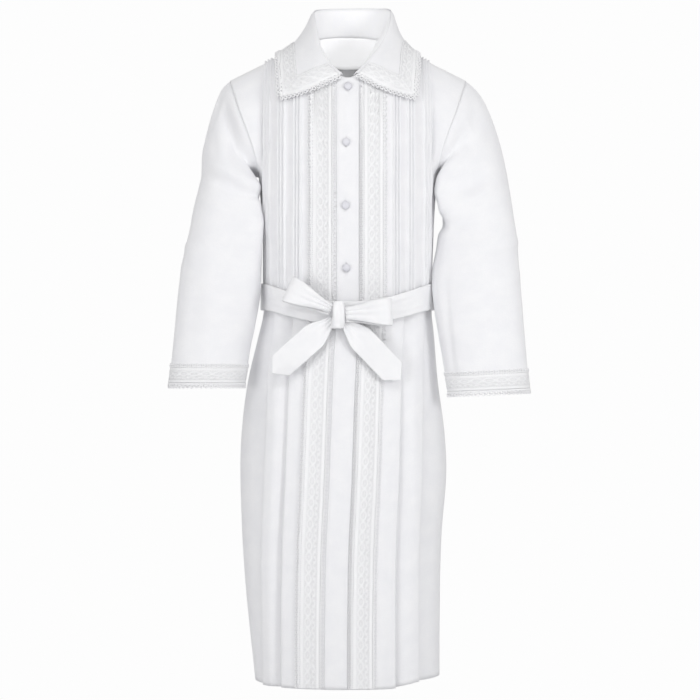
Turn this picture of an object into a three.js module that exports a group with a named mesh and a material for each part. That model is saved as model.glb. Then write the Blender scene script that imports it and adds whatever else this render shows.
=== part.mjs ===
// A kittel: a white calf-length robe with pin-tucked fronts, a pleated skirt, a wide turned-down collar,
// lace down both sides of the front band, lace at collar and cuffs, covered buttons and a sash tied in a bow.
// It is filled out as worn, and every piece is a wall of cloth round an empty inside.
// Millimetres, +Z up. The front faces -Y and +X is the wearer's left.
// The origin is the centre of the neck opening, at the height where collar and shoulder seams meet.
import * as THREE from 'three';

// ---- Driving sizes ----------------------------------------------------------------------------------
const CLOTH = 1.2; // wall of the robe's cloth
const LACE = 0.9; // wall of the lace
const SEAM = 0.3; // gap between pieces where they are sewn
const ROUND = 2.3; // power of the body's rounded-oval sections; 2 is an ellipse

const NECK_HALF = 62; // half the width of the neck opening
const NECK_FRONT = 92; // its reach forwards from the shoulder seam
const NECK_BACK = 50; // and backwards
const NAPE = 52; // how far the back of the neck rises over the shoulder's neck point
const SHOULDER_Y = 4; // the shoulder seam's place, front to back
const SHOULDER_SLOPE = 0.5; // its fall for each millimetre outwards
const UNDERARM = -262; // height of the armhole's lowest point
const WAIST = -488; // height of the waist seam at the sides
const WAIST_DIP = 30; // and how much lower it is at centre front
const HEM = -1207; // height of the skirt's lower edge
const HEM_LIFT = 10; // and its rise towards the wearer's left side

const BAND_HALF = 20; // half the width of the buttoned front band
const BAND_UNDER = 8; // how far each front goes in under the band's sewn edge
const LACE_IN = 25; // a lace strip's inner edge, from centre front
const LACE_OUT = 69; // and its outer edge
const TUCK_WIDE = 3.4; // one pin tuck
const TUCK_HIGH = 2.3;
const TUCK_PITCH = 5.6;
const TUCK_GROUPS = { right: [84, 113, 140], left: [81, 107, 137] }; // where each group of three begins
const TUCKS_EACH = 3;
const SIDE_FROM = 156; // past this distance from centre the columns turn round the side
const SIDE_RUN = 60;

// The body's sections: half width, reach to front and back, sideways shift of the middle.
const BODY = [
  { z: UNDERARM, half: 168, front: 120, back: 106 },
  { z: -330, half: 163, front: 119, back: 102 },
  { z: -400, half: 160, front: 117, back: 97 },
  { z: -450, half: 158, front: 114, back: 94 },
  { z: -490, half: 156, front: 107, back: 91 },
  { z: -524, half: 157, front: 105, back: 92 },
];

// The skirt's sections, with the centre line of the front band and the size of its pleats:
// step is the lift from one folded layer to the next.
const SKIRT = [
  { z: -484, half: 154, front: 103, back: 89, shift: 0, band: 0, step: 2.3 },
  { z: -524, half: 156, front: 103, back: 93, shift: -1, band: -2, step: 2.4 },
  { z: -560, half: 162, front: 106, back: 101, shift: -3, band: -4, step: 2.6 },
  { z: -645, half: 174, front: 111, back: 116, shift: -9, band: -8, step: 3.3 },
  { z: -740, half: 184, front: 114, back: 125, shift: -9, band: -11, step: 3.9 },
  { z: -830, half: 187, front: 115, back: 128, shift: -8, band: -14, step: 4.3 },
  { z: -946, half: 181, front: 114, back: 125, shift: -11, band: -19, step: 4.6 },
  { z: -1085, half: 174, front: 113, back: 120, shift: -7, band: -21, step: 4.9 },
  { z: HEM, half: 168, front: 112, back: 117, shift: -1, band: -21, step: 5.2 },
];
const FRONT_FOLDS = { right: [98, 141], left: [104, 150] }; // the pleats' folded edges, from the band's middle
const BACK_FOLDS = [44, 91, 138]; // and from centre back
const FOLD_UNDER = 15; // how far a fold tucks back

// The armhole's edge, from the underarm (w 0) to the shoulder tip (w 1), on the wearer's left.
const ARMHOLE = [
  { w: 0, x: 168, front: 0, back: 0, z: UNDERARM },
  { w: 0.06, x: 170, front: -42, back: 44, z: -245 },
  { w: 0.174, x: 177, front: -57, back: 60, z: -213 },
  { w: 0.318, x: 190, front: -55, back: 59, z: -175 },
  { w: 0.465, x: 203, front: -44, back: 48, z: -141 },
  { w: 0.607, x: 212, front: -29, back: 34, z: -114 },
  { w: 0.753, x: 219, front: -13, back: 19, z: -94 },
  { w: 1, x: 223, front: SHOULDER_Y, back: SHOULDER_Y, z: -80.5 },
];
// The rows from underarm to shoulder, which bodice and sleeve head share.
const ARM_ROWS = [0, 0.05, 0.12, 0.21, 0.32, 0.44, 0.57, 0.71, 0.86, 1];

// The sleeves' rings past the armhole: centre, half width, half depth, rise of the outer side in degrees, and
// how far the front inner side swells over the body's front.
const CAP = 0.15; // the share of a sleeve that is its cap
const ARMS = {
  right: [
    { v: CAP, x: 225, y: -4, z: -284, wide: 55, deep: 62, tilt: 17, swell: 25 },
    { v: 0.3, x: 228.5, y: -17, z: -345, wide: 65, deep: 59, tilt: 9, swell: 25 },
    { v: 0.5, x: 234.5, y: -39, z: -430, wide: 74, deep: 54, tilt: 6, swell: 15 },
    { v: 0.68, x: 241.5, y: -54, z: -505, wide: 75.5, deep: 50, tilt: 4, swell: 3 },
    { v: 0.88, x: 253, y: -70, z: -594, wide: 71, deep: 47, tilt: 1, swell: 0 },
    { v: 1, x: 260, y: -77, z: -647, wide: 70, deep: 46, tilt: 0, swell: 0 },
  ],
  left: [
    { v: CAP, x: 237, y: -4, z: -286, wide: 66, deep: 58, tilt: 17, swell: 34 },
    { v: 0.3, x: 241, y: -24, z: -348, wide: 71, deep: 54, tilt: 10, swell: 12 },
    { v: 0.39, x: 239.5, y: -36, z: -387, wide: 77, deep: 51, tilt: 8, swell: 5 },
    { v: 0.5, x: 237, y: -42, z: -435, wide: 81.5, deep: 48, tilt: 7, swell: 0 },
    { v: 0.68, x: 242, y: -58, z: -512, wide: 81.5, deep: 44, tilt: 5, swell: 0 },
    { v: 0.88, x: 252, y: -73, z: -605, wide: 77.5, deep: 40, tilt: 3, swell: 0 },
    { v: 1, x: 259.5, y: -80, z: -660, wide: 75, deep: 38, tilt: 2.5, swell: 0 },
  ],
};
// Soft troughs (negative) and ridges along the sleeves: each runs from one turn and share of the
// length to another.
const SLEEVE_FOLDS = {
  right: [
    { turn0: 10, v0: 0.05, turn1: 150, v1: 0.22, wide: 0.055, lift: -5 },
    { turn0: 330, v0: 0.2, turn1: 170, v1: 0.34, wide: 0.06, lift: -6 },
    { turn0: 20, v0: 0.36, turn1: 160, v1: 0.5, wide: 0.08, lift: -4 },
    { turn0: 60, v0: 0.55, turn1: 120, v1: 0.95, wide: 0.2, lift: 3 },
  ],
  left: [
    { turn0: 60, v0: 0.08, turn1: 170, v1: 0.2, wide: 0.05, lift: -6 },
    { turn0: 110, v0: 0.34, turn1: 185, v1: 0.26, wide: 0.05, lift: -10 },
    { turn0: 30, v0: 0.3, turn1: 190, v1: 0.42, wide: 0.07, lift: -4 },
    { turn0: 130, v0: 0.6, turn1: 150, v1: 0.92, wide: 0.2, lift: -4 },
  ],
};
const CUFF_LACE = 44; // depth of the lace at the cuffs
const CUFF_OVER = 5; // how far it hangs past the sleeve's hem
const SLEEVE_LONG = 580;

// The collar's fold line by its turn round the neck: 0 is centre back, positive to the wearer's left.
const COLLAR_FOLD = [
  { turn: -170, x: -10, y: -92, z: -82 },
  { turn: -160, x: -24, y: -84, z: -70 },
  { turn: -149, x: -38, y: -75, z: -55 },
  { turn: -130, x: -51, y: -56, z: -27 },
  { turn: -112, x: -57, y: -32, z: 6 },
  { turn: -96, x: -62, y: -4, z: 38 },
  { turn: -80, x: -62, y: 14, z: 52 },
  { turn: -40, x: -38, y: 47, z: 61 },
  { turn: 0, x: 8, y: 58, z: 64 },
  { turn: 40, x: 54, y: 47, z: 62 },
  { turn: 80, x: 79, y: 14, z: 54 },
  { turn: 96, x: 80, y: -4, z: 39 },
  { turn: 112, x: 74, y: -30, z: 10 },
  { turn: 130, x: 60, y: -52, z: -22 },
  { turn: 149, x: 41, y: -73, z: -49 },
  { turn: 160, x: 28, y: -83, z: -66 },
  { turn: 170, x: 14, y: -92, z: -80 },
];
const COLLAR_END = 170; // the turn at which the collar's two ends stand, just off centre front
// The leaf's outer edge seen from above, by the share of its half: 0 centre back, 1 the point.
const COLLAR_EDGE = [
  { g: 0, x: 0, y: 92 },
  { g: 0.25, x: 50, y: 86 },
  { g: 0.45, x: 96, y: 58 },
  { g: 0.62, x: 121, y: 18 },
  { g: 0.8, x: 125, y: -30 },
  { g: 1, x: 119, y: -73 },
];
const COLLAR_CLEAR = 6.5; // the leaf's lowest lie over the shoulders, which clears tucks and lace

const BELT_WIDE = 50;
const BELT_CLEAR = 6.8; // the belt's lie over the waist, which clears tucks and pleats
const SASH = 1.6; // wall of the belt and bow

const BUTTONS = [
  { x: 0, z: -105 },
  { x: -3, z: -209 },
  { x: -4, z: -324 },
  { x: -3, z: -438 },
];
const BUTTON_R = 7.4;
const BUTTON_HIGH = 6.4;

// ---- Materials --------------------------------------------------------------------------------------
const finish = (color, roughness) => new THREE.MeshStandardMaterial({ color, roughness, metalness: 0 });
const cloth = finish(0xf3f3f5, 0.62);
const lace = finish(0xefeff4, 0.85);
const satin = finish(0xf5f5f7, 0.5);

// ---- Small tools ------------------------------------------------------------------------------------
const { abs, cos, exp, hypot, max, min, PI, sign, sin, sqrt } = Math;
const RAD = PI / 180;
const V = (x, y, z) => new THREE.Vector3(x, y, z);
const mix = (a, b, f) => a + (b - a) * f;
const ease = (f) => f * f * (3 - 2 * f);
const bell = (d) => exp(-d * d);
const steps = (from, to, count) => Array.from({ length: count + 1 }, (_, i) => mix(from, to, i / count));

function hermite(a, b, slopeA, slopeB, f) {
  const g = 1 - f;
  return a * (1 + 2 * f) * g * g + slopeA * f * g * g + b * f * f * (3 - 2 * f) - slopeB * f * f * g;
}

// Every column of a table, read smoothly at one value of its column `by`.
function track(table, by, where) {
  const way = sign(table.at(-1)[by] - table[0][by]);
  let i = 0;
  while (i < table.length - 2 && way * (where - table[i + 1][by]) > 0) i++;
  const [a, b] = [table[i], table[i + 1]];
  const [before, after] = [table[i - 1] ?? a, table[i + 2] ?? b];
  const span = b[by] - a[by];
  const f = min(1, max(0, (where - a[by]) / span));
  const row = {};
  for (const key of Object.keys(a)) {
    const slopeA = ((b[key] - before[key]) / (b[by] - before[by])) * span;
    const slopeB = ((after[key] - a[key]) / (after[by] - a[by])) * span;
    row[key] = hermite(a[key], b[key], slopeA, slopeB, f);
  }
  return row;
}

// ---- Walls ------------------------------------------------------------------------------------------
// A closed wall between two grids of points, each cell cut along its shorter diagonal. `loop` joins the last
// column to the first, and `covers` says which cells the wall has: its rim runs round the others.
function wall(name, material, outside, inside, loop = false, covers = () => true) {
  const rows = outside.length;
  const columns = outside[0].length;
  const last = loop ? columns : columns - 1;
  const points = [...outside.flat(), ...inside.flat()];
  const index = ([row, column], layer) => layer * rows * columns + row * columns + (column % columns);
  const has = (row, column) => {
    const wrapped = loop ? (column + columns) % columns : column;
    return row >= 0 && row < rows - 1 && wrapped >= 0 && wrapped < last && covers(row, wrapped);
  };
  const apart = (p, q) => points[index(p, 0)].distanceTo(points[index(q, 0)]);
  const faces = [];
  const face = (...corners) => {
    faces.push(...corners.map((p) => index(p, 0)));
    faces.push(...corners.reverse().map((p) => index(p, 1)));
  };
  const rim = (p, q) => {
    faces.push(index(p, 0), index(p, 1), index(q, 1));
    faces.push(index(p, 0), index(q, 1), index(q, 0));
  };
  for (let r = 0; r < rows - 1; r++)
    for (let c = 0; c < last; c++) {
      if (!has(r, c)) continue;
      const [p, q, s, t] = [[r, c], [r, c + 1], [r + 1, c + 1], [r + 1, c]];
      const cut = apart(p, s) <= apart(q, t);
      face(p, q, cut ? s : t);
      face(cut ? p : q, s, t);
      if (!has(r - 1, c)) rim(p, q);
      if (!has(r, c + 1)) rim(q, s);
      if (!has(r + 1, c)) rim(s, t);
      if (!has(r, c - 1)) rim(t, p);
    }
  return closedMesh(name, material, points, faces);
}

// A mesh of these points and faces, turned so that its faces point out.
function closedMesh(name, material, allPoints, allFaces) {
  const used = [...new Set(allFaces)].sort((a, b) => a - b);
  const renumber = new Map(used.map((old, i) => [old, i]));
  const points = used.map((i) => allPoints[i]);
  const faces = allFaces.map((i) => renumber.get(i));
  let volume = 0;
  for (let i = 0; i < faces.length; i += 3) {
    const [a, b, c] = [points[faces[i]], points[faces[i + 1]], points[faces[i + 2]]];
    volume += a.dot(b.clone().cross(c));
  }
  if (volume < 0) faces.reverse();
  const geometry = new THREE.BufferGeometry().setFromPoints(points);
  geometry.setIndex(faces);
  geometry.computeVertexNormals();
  const mesh = new THREE.Mesh(geometry, material);
  mesh.name = name;
  return mesh;
}

// The outward normal at each point of a grid, from the faces round it; `out` is the outer side at its middle.
function normalsOf(grid, loop, out) {
  const columns = grid[0].length;
  const at = (r, c) => grid[r]?.[loop ? (c + columns) % columns : c];
  const normals = grid.map((line, r) =>
    line.map((p, c) => {
      const sum = V(0, 0, 0);
      for (const dr of [-1, 1])
        for (const dc of [-1, 1]) {
          const [across, along] = [at(r, c + dc), at(r + dr, c)];
          if (across && along) sum.addScaledVector(across.clone().sub(p).cross(along.clone().sub(p)), dr * dc);
        }
      return sum.normalize();
    }),
  );
  const middle = normals[Math.floor(grid.length / 2)][Math.floor(columns / 2)];
  if (middle.dot(out) < 0) normals.flat().forEach((normal) => normal.negate());
  return normals;
}

// A wall that follows the surface at(u, v). Each column is { u, rise }: rise lifts the outer face alone, as a
// tuck does. `low` and `high` are the lifts of the inner and outer face. Of the options, `loop` and `covers` are
// the wall's, and `settle` may turn a normal into the plane of a seam.
function sheet(name, material, at, out, columns, rows, low, high, { loop, covers, settle } = {}) {
  const foot = rows.map((v) => columns.map(({ u }) => at(u, v)));
  const away = normalsOf(foot, loop, out);
  if (settle) away.forEach((line, r) => line.forEach((normal, c) => settle(normal, columns[c].u, rows[r])));
  const raised = (p, r, c, by) => p.clone().addScaledVector(away[r][c], by);
  const lifted = (lift) => foot.map((line, r) => line.map((p, c) => raised(p, r, c, lift(c))));
  return wall(name, material, lifted((c) => high + (columns[c].rise ?? 0)), lifted(() => low), loop, covers);
}
const plain = (us) => us.map((u) => ({ u }));

// ---- The body's form --------------------------------------------------------------------------------
// Front to back place of the body at a distance x from its middle; face is -1 in front, 1 behind.
function depthOf(row, x, face) {
  const reach = face < 0 ? row.front : row.back;
  return face * reach * (1 - min(1, abs(x) / row.half) ** ROUND) ** (1 / ROUND);
}

// The waist seam's height.
const waistline = (x) => WAIST - WAIST_DIP * max(0, 1 - (x / 150) ** 2) ** 2;

// Top of the shoulder at x: the sloping seam, or over the neck opening the rise to the nape.
function shoulderTop(x, face) {
  const d = abs(x);
  if (d > NECK_HALF) return -(d - NECK_HALF) * SHOULDER_SLOPE;
  return face > 0 ? NAPE * (1 - (d / NECK_HALF) ** 2) : 0;
}

// The chest or shoulder blades: from the shoulder top (tau 0) over and down to underarm height (tau 90 degrees).
function shoulderPoint(x, tau, face) {
  const reach = depthOf(BODY[0], x, face) - SHOULDER_Y;
  return V(x, SHOULDER_Y + reach * sin(tau), UNDERARM + (shoulderTop(x, face) - UNDERARM) * cos(tau));
}

// The tau at which a column meets the neckline, or 0 where it reaches the shoulder seam.
function neckTau(x, face) {
  if (abs(x) >= NECK_HALF) return 0;
  const reach = (face < 0 ? NECK_FRONT : NECK_BACK) * sqrt(1 - (x / NECK_HALF) ** 2);
  return Math.asin(reach / abs(depthOf(BODY[0], x, face) - SHOULDER_Y));
}

const armhole = (w, face) => {
  const row = track(ARMHOLE, 'w', w);
  return V(row.x, face < 0 ? row.front : row.back, row.z);
};

// The bodice on the wearer's left. u is the distance from the middle, and past SIDE_FROM the way round the side.
// v runs 0 to 1 from the waist to the underarm and 1 to 2 from there to the shoulder seam or neckline.
function bodiceAt(face, u, v) {
  const q = max(0, (u - SIDE_FROM) / SIDE_RUN);
  const x = min(u, SIDE_FROM);
  const z = mix(waistline(x), UNDERARM, min(1, v));
  const row = track(BODY, 'z', z);
  const start = Math.asin(min(1, SIDE_FROM / row.half) ** (ROUND / 2));
  const angle = mix(start, PI / 2, q);
  const forward = abs(cos(angle)) ** (2 / ROUND) * sign(cos(angle));
  const low = q
    ? V(row.half * sin(angle) ** (2 / ROUND), depthOf(row, 0, face) * forward, z)
    : V(x, depthOf(row, x, face), z);
  if (v <= 1) return low;
  const w = v - 1;
  const column = shoulderPoint(x, mix(PI / 2, neckTau(x, face), w), face);
  if (!q) return column;
  const chord = column.clone().lerp(armhole(w, face), q);
  const chordLow = shoulderPoint(SIDE_FROM, PI / 2, face).lerp(armhole(0, face), q);
  return chord.addScaledVector(low.sub(chordLow), (1 - w) ** 1.5);
}

const FRONT = V(0, -1, 0);
const BACK = V(0, 1, 0);

// Along shoulder and side seams both edges stay square to the seam.
function intoSeam(normal, u, v) {
  const shoulder = v > 1.99 && abs(u) >= NECK_HALF;
  const side = abs(u) > SIDE_FROM + 0.99 * SIDE_RUN && v <= 1;
  if (shoulder || side) normal.setY(0).normalize();
}

// The same on either side: side is 1 for the wearer's left and -1 for the right.
const mirrored = (point, side) => V(point.x * side, point.y, point.z);
const bodice = (face, side) => (u, v) => mirrored(bodiceAt(face, u, v), side);

// ---- Bodice pieces ----------------------------------------------------------------------------------
const EDGE = 0.0014; // the share of a panel left off at a shoulder or side seam
const BODICE_ROWS = [0, 0.3, 0.65, ...ARM_ROWS.slice(0, -1).map((w) => 1 + w), 1.94, 2 - EDGE];
const SIDE_COLUMNS = steps(SIDE_FROM, SIDE_FROM + SIDE_RUN * (1 - EDGE), 4);

const FLAT_COLUMNS = [LACE_IN, 38, 51, 58, NECK_HALF, LACE_OUT]; // under the lace, close by the neck

// Columns of a tucked front: each tuck leans outwards as a ridge with one steep side.
function frontColumns(from, groups) {
  const flat = FLAT_COLUMNS.filter((u) => u > from + 4);
  const tucks = groups.flatMap((start) => [
    { u: start, rise: 0 },
    ...steps(0, TUCKS_EACH - 1, TUCKS_EACH - 1).flatMap((i) => {
      const crest = start + i * TUCK_PITCH + TUCK_WIDE;
      return [{ u: crest, rise: TUCK_HIGH }, { u: crest + 0.5, rise: 0 }];
    }),
  ]);
  return [...plain([from, ...(from < 0 ? [8] : []), ...flat]), ...tucks, ...plain(SIDE_COLUMNS)];
}

// The two fronts: side is 1 on the wearer's left, from is where each begins under the front band.
const FRONTS = [
  { name: 'right', side: -1, from: BAND_HALF - BAND_UNDER },
  { name: 'left', side: 1, from: BAND_UNDER + 2 - BAND_HALF },
];

function bodicePieces() {
  const pieces = new THREE.Group();
  const settle = intoSeam;
  const laceColumns = plain(FLAT_COLUMNS);
  const laceRows = BODICE_ROWS.slice(0, -1);
  // The lace's outer part stops under the collar.
  const covers = (row, column) => column < 3 || BODICE_ROWS[row + 1] < 1.8;
  for (const { name, side, from } of FRONTS) {
    const at = bodice(-1, side);
    const columns = frontColumns(from, TUCK_GROUPS[name]);
    pieces.add(
      sheet(`front_${name}`, cloth, at, FRONT, columns, BODICE_ROWS, -CLOTH, 0, { settle }),
      sheet(`lace_bodice_${name}`, lace, at, FRONT, laceColumns, laceRows, SEAM, SEAM + LACE, { covers }),
    );
  }
  const curve = [20, 40, 60, 80, 90].map((turn) => NECK_HALF * sin(turn * RAD));
  const half = [...curve, 80, 110, 135, ...SIDE_COLUMNS];
  const across = [...half.map((u) => -u).reverse(), 0, ...half];
  const backAt = (u, v) => mirrored(bodiceAt(1, abs(u), v), u < 0 ? -1 : 1);
  const facingColumns = plain(across.filter((u) => abs(u) <= 110));
  const under = -CLOTH - 2 * SEAM;
  const facingRows = [BODICE_ROWS.at(-4), BODICE_ROWS.at(-3), 2 - 3 * EDGE];
  const bandColumns = plain([-BAND_HALF, -7, 7, BAND_HALF]);
  const bandRows = BODICE_ROWS.map((v) => max(0.004, min(v, 1.99)));
  pieces.add(
    sheet('back', cloth, backAt, BACK, plain(across), BODICE_ROWS, -CLOTH, 0, { settle }),
    sheet('neck_facing', cloth, backAt, BACK, facingColumns, facingRows, under - CLOTH, under, { settle }),
    sheet('band_bodice', cloth, bodice(-1, 1), FRONT, bandColumns, bandRows, SEAM, SEAM + CLOTH),
  );
  return pieces;
}

// ---- Skirt ------------------------------------------------------------------------------------------
// The half section at a height as a line of points with their distances from centre front.
const girths = new Map();
function girth(z) {
  if (!girths.has(z)) {
    const row = track(SKIRT, 'z', z);
    const line = steps(0, PI, 180).map((angle) => {
      const face = angle < PI / 2 ? -1 : 1;
      const x = row.half * sin(angle) ** (2 / ROUND);
      const reach = face < 0 ? row.front : row.back;
      return { x, y: face * reach * abs(cos(angle)) ** (2 / ROUND), far: 0 };
    });
    for (let i = 1; i < line.length; i++)
      line[i].far = line[i - 1].far + hypot(line[i].x - line[i - 1].x, line[i].y - line[i - 1].y);
    line.forEach((p, i) => {
      const a = line[i - 1] ?? { x: -line[1].x, y: line[1].y };
      const b = line[i + 1] ?? { x: -line[i - 1].x, y: line[i - 1].y };
      const run = hypot(b.x - a.x, b.y - a.y);
      p.outX = (b.y - a.y) / run;
      p.outY = (a.x - b.x) / run;
    });
    girths.set(z, { line, shift: row.shift, side: line[90].far, whole: line[180].far });
  }
  return girths.get(z);
}

// A point of the skirt's form at a distance round from centre front, positive to the wearer's left and past
// centre back on round the wearer's right, lifted off the form by `lift`.
function skirtPoint(far, z, lift = 0) {
  const { line, shift, whole } = girth(z);
  const way = far > whole ? far - 2 * whole : far;
  const d = min(abs(way), whole);
  let i = 1;
  while (i < line.length - 1 && line[i].far < d) i++;
  const [a, b] = [line[i - 1], line[i]];
  const f = (d - a.far) / (b.far - a.far);
  const x = mix(a.x, b.x, f) + mix(a.outX, b.outX, f) * lift;
  const y = mix(a.y, b.y, f) + mix(a.outY, b.outY, f) * lift;
  return V((way < 0 ? -1 : 1) * x + shift, y, z);
}

// One knife pleat as a run of { far, lift }: out on top to the fold, back underneath, and forward again below.
const knife = (fold, step) => [
  { far: fold, lift: 2 * step },
  { far: fold + step / 2, lift: 1.5 * step },
  { far: fold, lift: step },
  { far: fold - FOLD_UNDER, lift: step },
  { far: fold - FOLD_UNDER - step / 2, lift: 0.5 * step },
  { far: fold - FOLD_UNDER, lift: 0 },
  { far: fold + 3, lift: 0 },
];

// The path of a pleated half from `start` round to the side seam at `end`.
function pleatPath(start, folds, end, { step }) {
  const path = start.map((far) => ({ far, lift: 2 * step }));
  folds.forEach((fold, i) => {
    path.push({ far: fold - FOLD_UNDER, lift: i ? 1.7 * step : 2 * step });
    path.push(...knife(fold, step));
  });
  const last = path.at(-1).far;
  for (const f of [0.35, 0.7, 1]) path.push({ far: mix(last, end, f), lift: step * ease(f) });
  return path;
}

// The two faces of a wall of cloth along a path: half the wall to either side of it.
function faces(path, thickness) {
  const side = (way) =>
    path.map((p, i) => {
      const [a, b] = [path[max(0, i - 1)], path[min(path.length - 1, i + 1)]];
      const [df, dl] = [b.far - a.far, b.lift - a.lift];
      const reach = (way * thickness) / 2 / hypot(df, dl);
      return { far: p.far - dl * reach, lift: p.lift + df * reach };
    });
  return [side(1), side(-1)];
}

// Shares of the way from waist to hem.
const SKIRT_HEIGHTS = [0, 0.035, 0.085, 0.17, 0.28, 0.42, 0.58, 0.78, 1];
const skirtTop = (x) => waistline(x) - SEAM;
const skirtHem = (x) => HEM + HEM_LIFT * ease(min(1, max(0, (x - 75) / 55)));

// A pleated skirt piece: `pathAt(row, z)` gives its path of { far, lift } at each height.
function skirtPiece(name, pathAt) {
  const outside = [];
  const inside = [];
  for (const share of SKIRT_HEIGHTS) {
    const level = mix(WAIST, HEM, share);
    const row = track(SKIRT, 'z', level);
    const [outer, inner] = faces(pathAt(row, level), CLOTH);
    const place = ({ far, lift }) => {
      const { x } = skirtPoint(far, level);
      const z = mix(skirtTop(x), skirtHem(x), share);
      return skirtPoint(far, level, lift).setZ(z);
    };
    outside.push(outer.map(place));
    inside.push(inner.map(place));
  }
  return wall(name, cloth, outside, inside);
}

// The flat front of the skirt, for what lies on it: d is the distance from the band's centre line.
function skirtFront(d, share, lift) {
  const level = mix(WAIST, HEM, share);
  const row = track(SKIRT, 'z', level);
  const far = row.band - row.shift + d;
  const { x } = skirtPoint(far, level);
  const z = mix(skirtTop(x), skirtHem(x), share);
  return skirtPoint(far, level, 2 * row.step + CLOTH / 2 + lift).setZ(z);
}

function onSkirtFront(name, material, ds, shares, low, high) {
  const layer = (lift) => shares.map((share) => ds.map((d) => skirtFront(d, share, lift)));
  return wall(name, material, layer(high), layer(low));
}

function skirtPieces() {
  const pieces = new THREE.Group();
  const lowered = SKIRT_HEIGHTS.map((share) => max(share, 0.002));
  for (const { name, side, from } of FRONTS) {
    const strip = [LACE_IN, 47, LACE_OUT];
    const flat = [from, ...(from < 0 ? [8] : []), ...strip];
    pieces.add(
      skirtPiece(`skirt_${name}`, (row, level) => {
        const middle = side * (row.band - row.shift);
        const end = girth(level).side - SEAM / 2 - middle;
        const path = pleatPath(flat, FRONT_FOLDS[name], end, row);
        return path.map(({ far, lift }) => ({ far: side * (far + middle), lift }));
      }),
      onSkirtFront(`lace_skirt_${name}`, lace, strip.map((d) => d * side), lowered, SEAM, SEAM + LACE),
    );
  }
  pieces.add(
    skirtPiece('skirt_back', (row, level) => {
      const { side, whole } = girth(level);
      const end = whole - side - SEAM / 2;
      const half = pleatPath([15], BACK_FOLDS, end, row);
      return [
        ...half.map(({ far, lift }) => ({ far: whole - far, lift })).reverse(),
        ...half.map(({ far, lift }) => ({ far: whole + far, lift })),
      ];
    }),
    onSkirtFront('band_skirt', cloth, [-BAND_HALF, -7, 7, BAND_HALF], lowered, SEAM, SEAM + CLOTH),
  );
  return pieces;
}

// ---- Sleeves ----------------------------------------------------------------------------------------
// The armhole's edges on both faces, row by row: where each point is and which way the panel faces there.
const ARM_EDGES = [FRONT, BACK].map((out) => {
  const grid = BODICE_ROWS.map((v) => SIDE_COLUMNS.slice(-2).map((u) => bodiceAt(out.y, u, v)));
  const normals = normalsOf(grid, false, out);
  return ARM_ROWS.map((w) => {
    const row = w < 1 ? BODICE_ROWS.indexOf(1 + w) : BODICE_ROWS.length - 1;
    return { edge: armhole(w, out.y), normal: normals[row][1] };
  });
});

// The armhole as a loop: turn 0 is the shoulder tip, 90 the front, 180 the underarm, 270 the back.
function armholeLoop(turn) {
  const last = ARM_ROWS.length - 1;
  const step = Math.round((turn / 180) * last);
  const around = (i) => ((i % (2 * last)) + 2 * last) % (2 * last);
  const point = (i) => ARM_EDGES[around(i) < last ? 0 : 1][abs(last - around(i))];
  const { edge } = point(step);
  const normal = point(step).normal.clone();
  if (step % last === 0) normal.add(ARM_EDGES[step ? 0 : 1][abs(last - step)].normal).normalize();
  const run = point(step + 1).edge.clone().sub(point(step - 1).edge);
  return { edge, normal, away: normal.clone().cross(run).normalize() };
}

function ringAt(arm, turn, v) {
  const row = track(arm, 'v', v);
  const tilt = row.tilt * RAD;
  const out = row.wide * cos(turn * RAD);
  const drop = v > 1 ? (v - 1) * SLEEVE_LONG : 0;
  const swell = row.swell * bell((turn - 138) / 24);
  const x = row.x + out * cos(tilt) - 0.85 * swell;
  return V(x, row.y - row.deep * sin(turn * RAD) - 0.5 * swell, row.z + out * sin(tilt) - drop);
}

// The lift that the soft folds give at a turn and share of the length.
function foldLift(folds, turn, v) {
  const turned = (from, to) => ((to - from + 540) % 360) - 180;
  return folds.reduce((sum, fold) => {
    const spread = turned(fold.turn0, fold.turn1) || 1;
    const along = turned(fold.turn0, turn) / spread;
    const near = min(1, max(0, along));
    const miss = ((along - near) * spread) / 40;
    const faded = bell(miss) * sin(PI * mix(0.15, 0.85, near));
    return sum + fold.lift * bell((v - mix(fold.v0, fold.v1, near)) / fold.wide) * faded;
  }, 0);
}

function sleeveAt(name, turn, v) {
  const arm = ARMS[name];
  const round = ((turn % 360) + 360) % 360;
  const ends = ease(min(1, v / 0.1)) * ease(min(1, max(0, (1 - v) / 0.08)));
  const lift = foldLift(SLEEVE_FOLDS[name], round, v) * ends;
  const row = track(arm, 'v', max(v, CAP));
  const radial = V(cos(round * RAD), -sin(round * RAD), 0).multiplyScalar(lift);
  if (v >= CAP) return ringAt(arm, round, v).add(radial);
  const { edge, away } = armholeLoop(round);
  const start = edge.clone().addScaledVector(away, 1.5 * SEAM);
  const end = ringAt(arm, round, CAP);
  const onward = ringAt(arm, round, CAP + 0.01).sub(end).multiplyScalar(100 * CAP);
  const reach = start.distanceTo(end);
  const leave = away.multiplyScalar(reach * 0.9);
  leave.x += 45 * bell((round - 180) / 55); // clear of the body under the arm
  const f = v / CAP;
  const at = (key) => hermite(start[key], end[key], leave[key], onward[key], f);
  return V(at('x'), at('y'), at('z')).add(radial);
}

const CUFF_TOP = 1 - (CUFF_LACE - CUFF_OVER) / SLEEVE_LONG;
const SLEEVE_ROWS = [0, 0.02, 0.05, 0.1, 0.15, 0.21, 0.28, 0.36, 0.45, 0.56, 0.68, 0.81, CUFF_TOP, 1];
const SLEEVE_TURNS = steps(0, 360, 2 * (ARM_ROWS.length - 1)).slice(0, -1);

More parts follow.
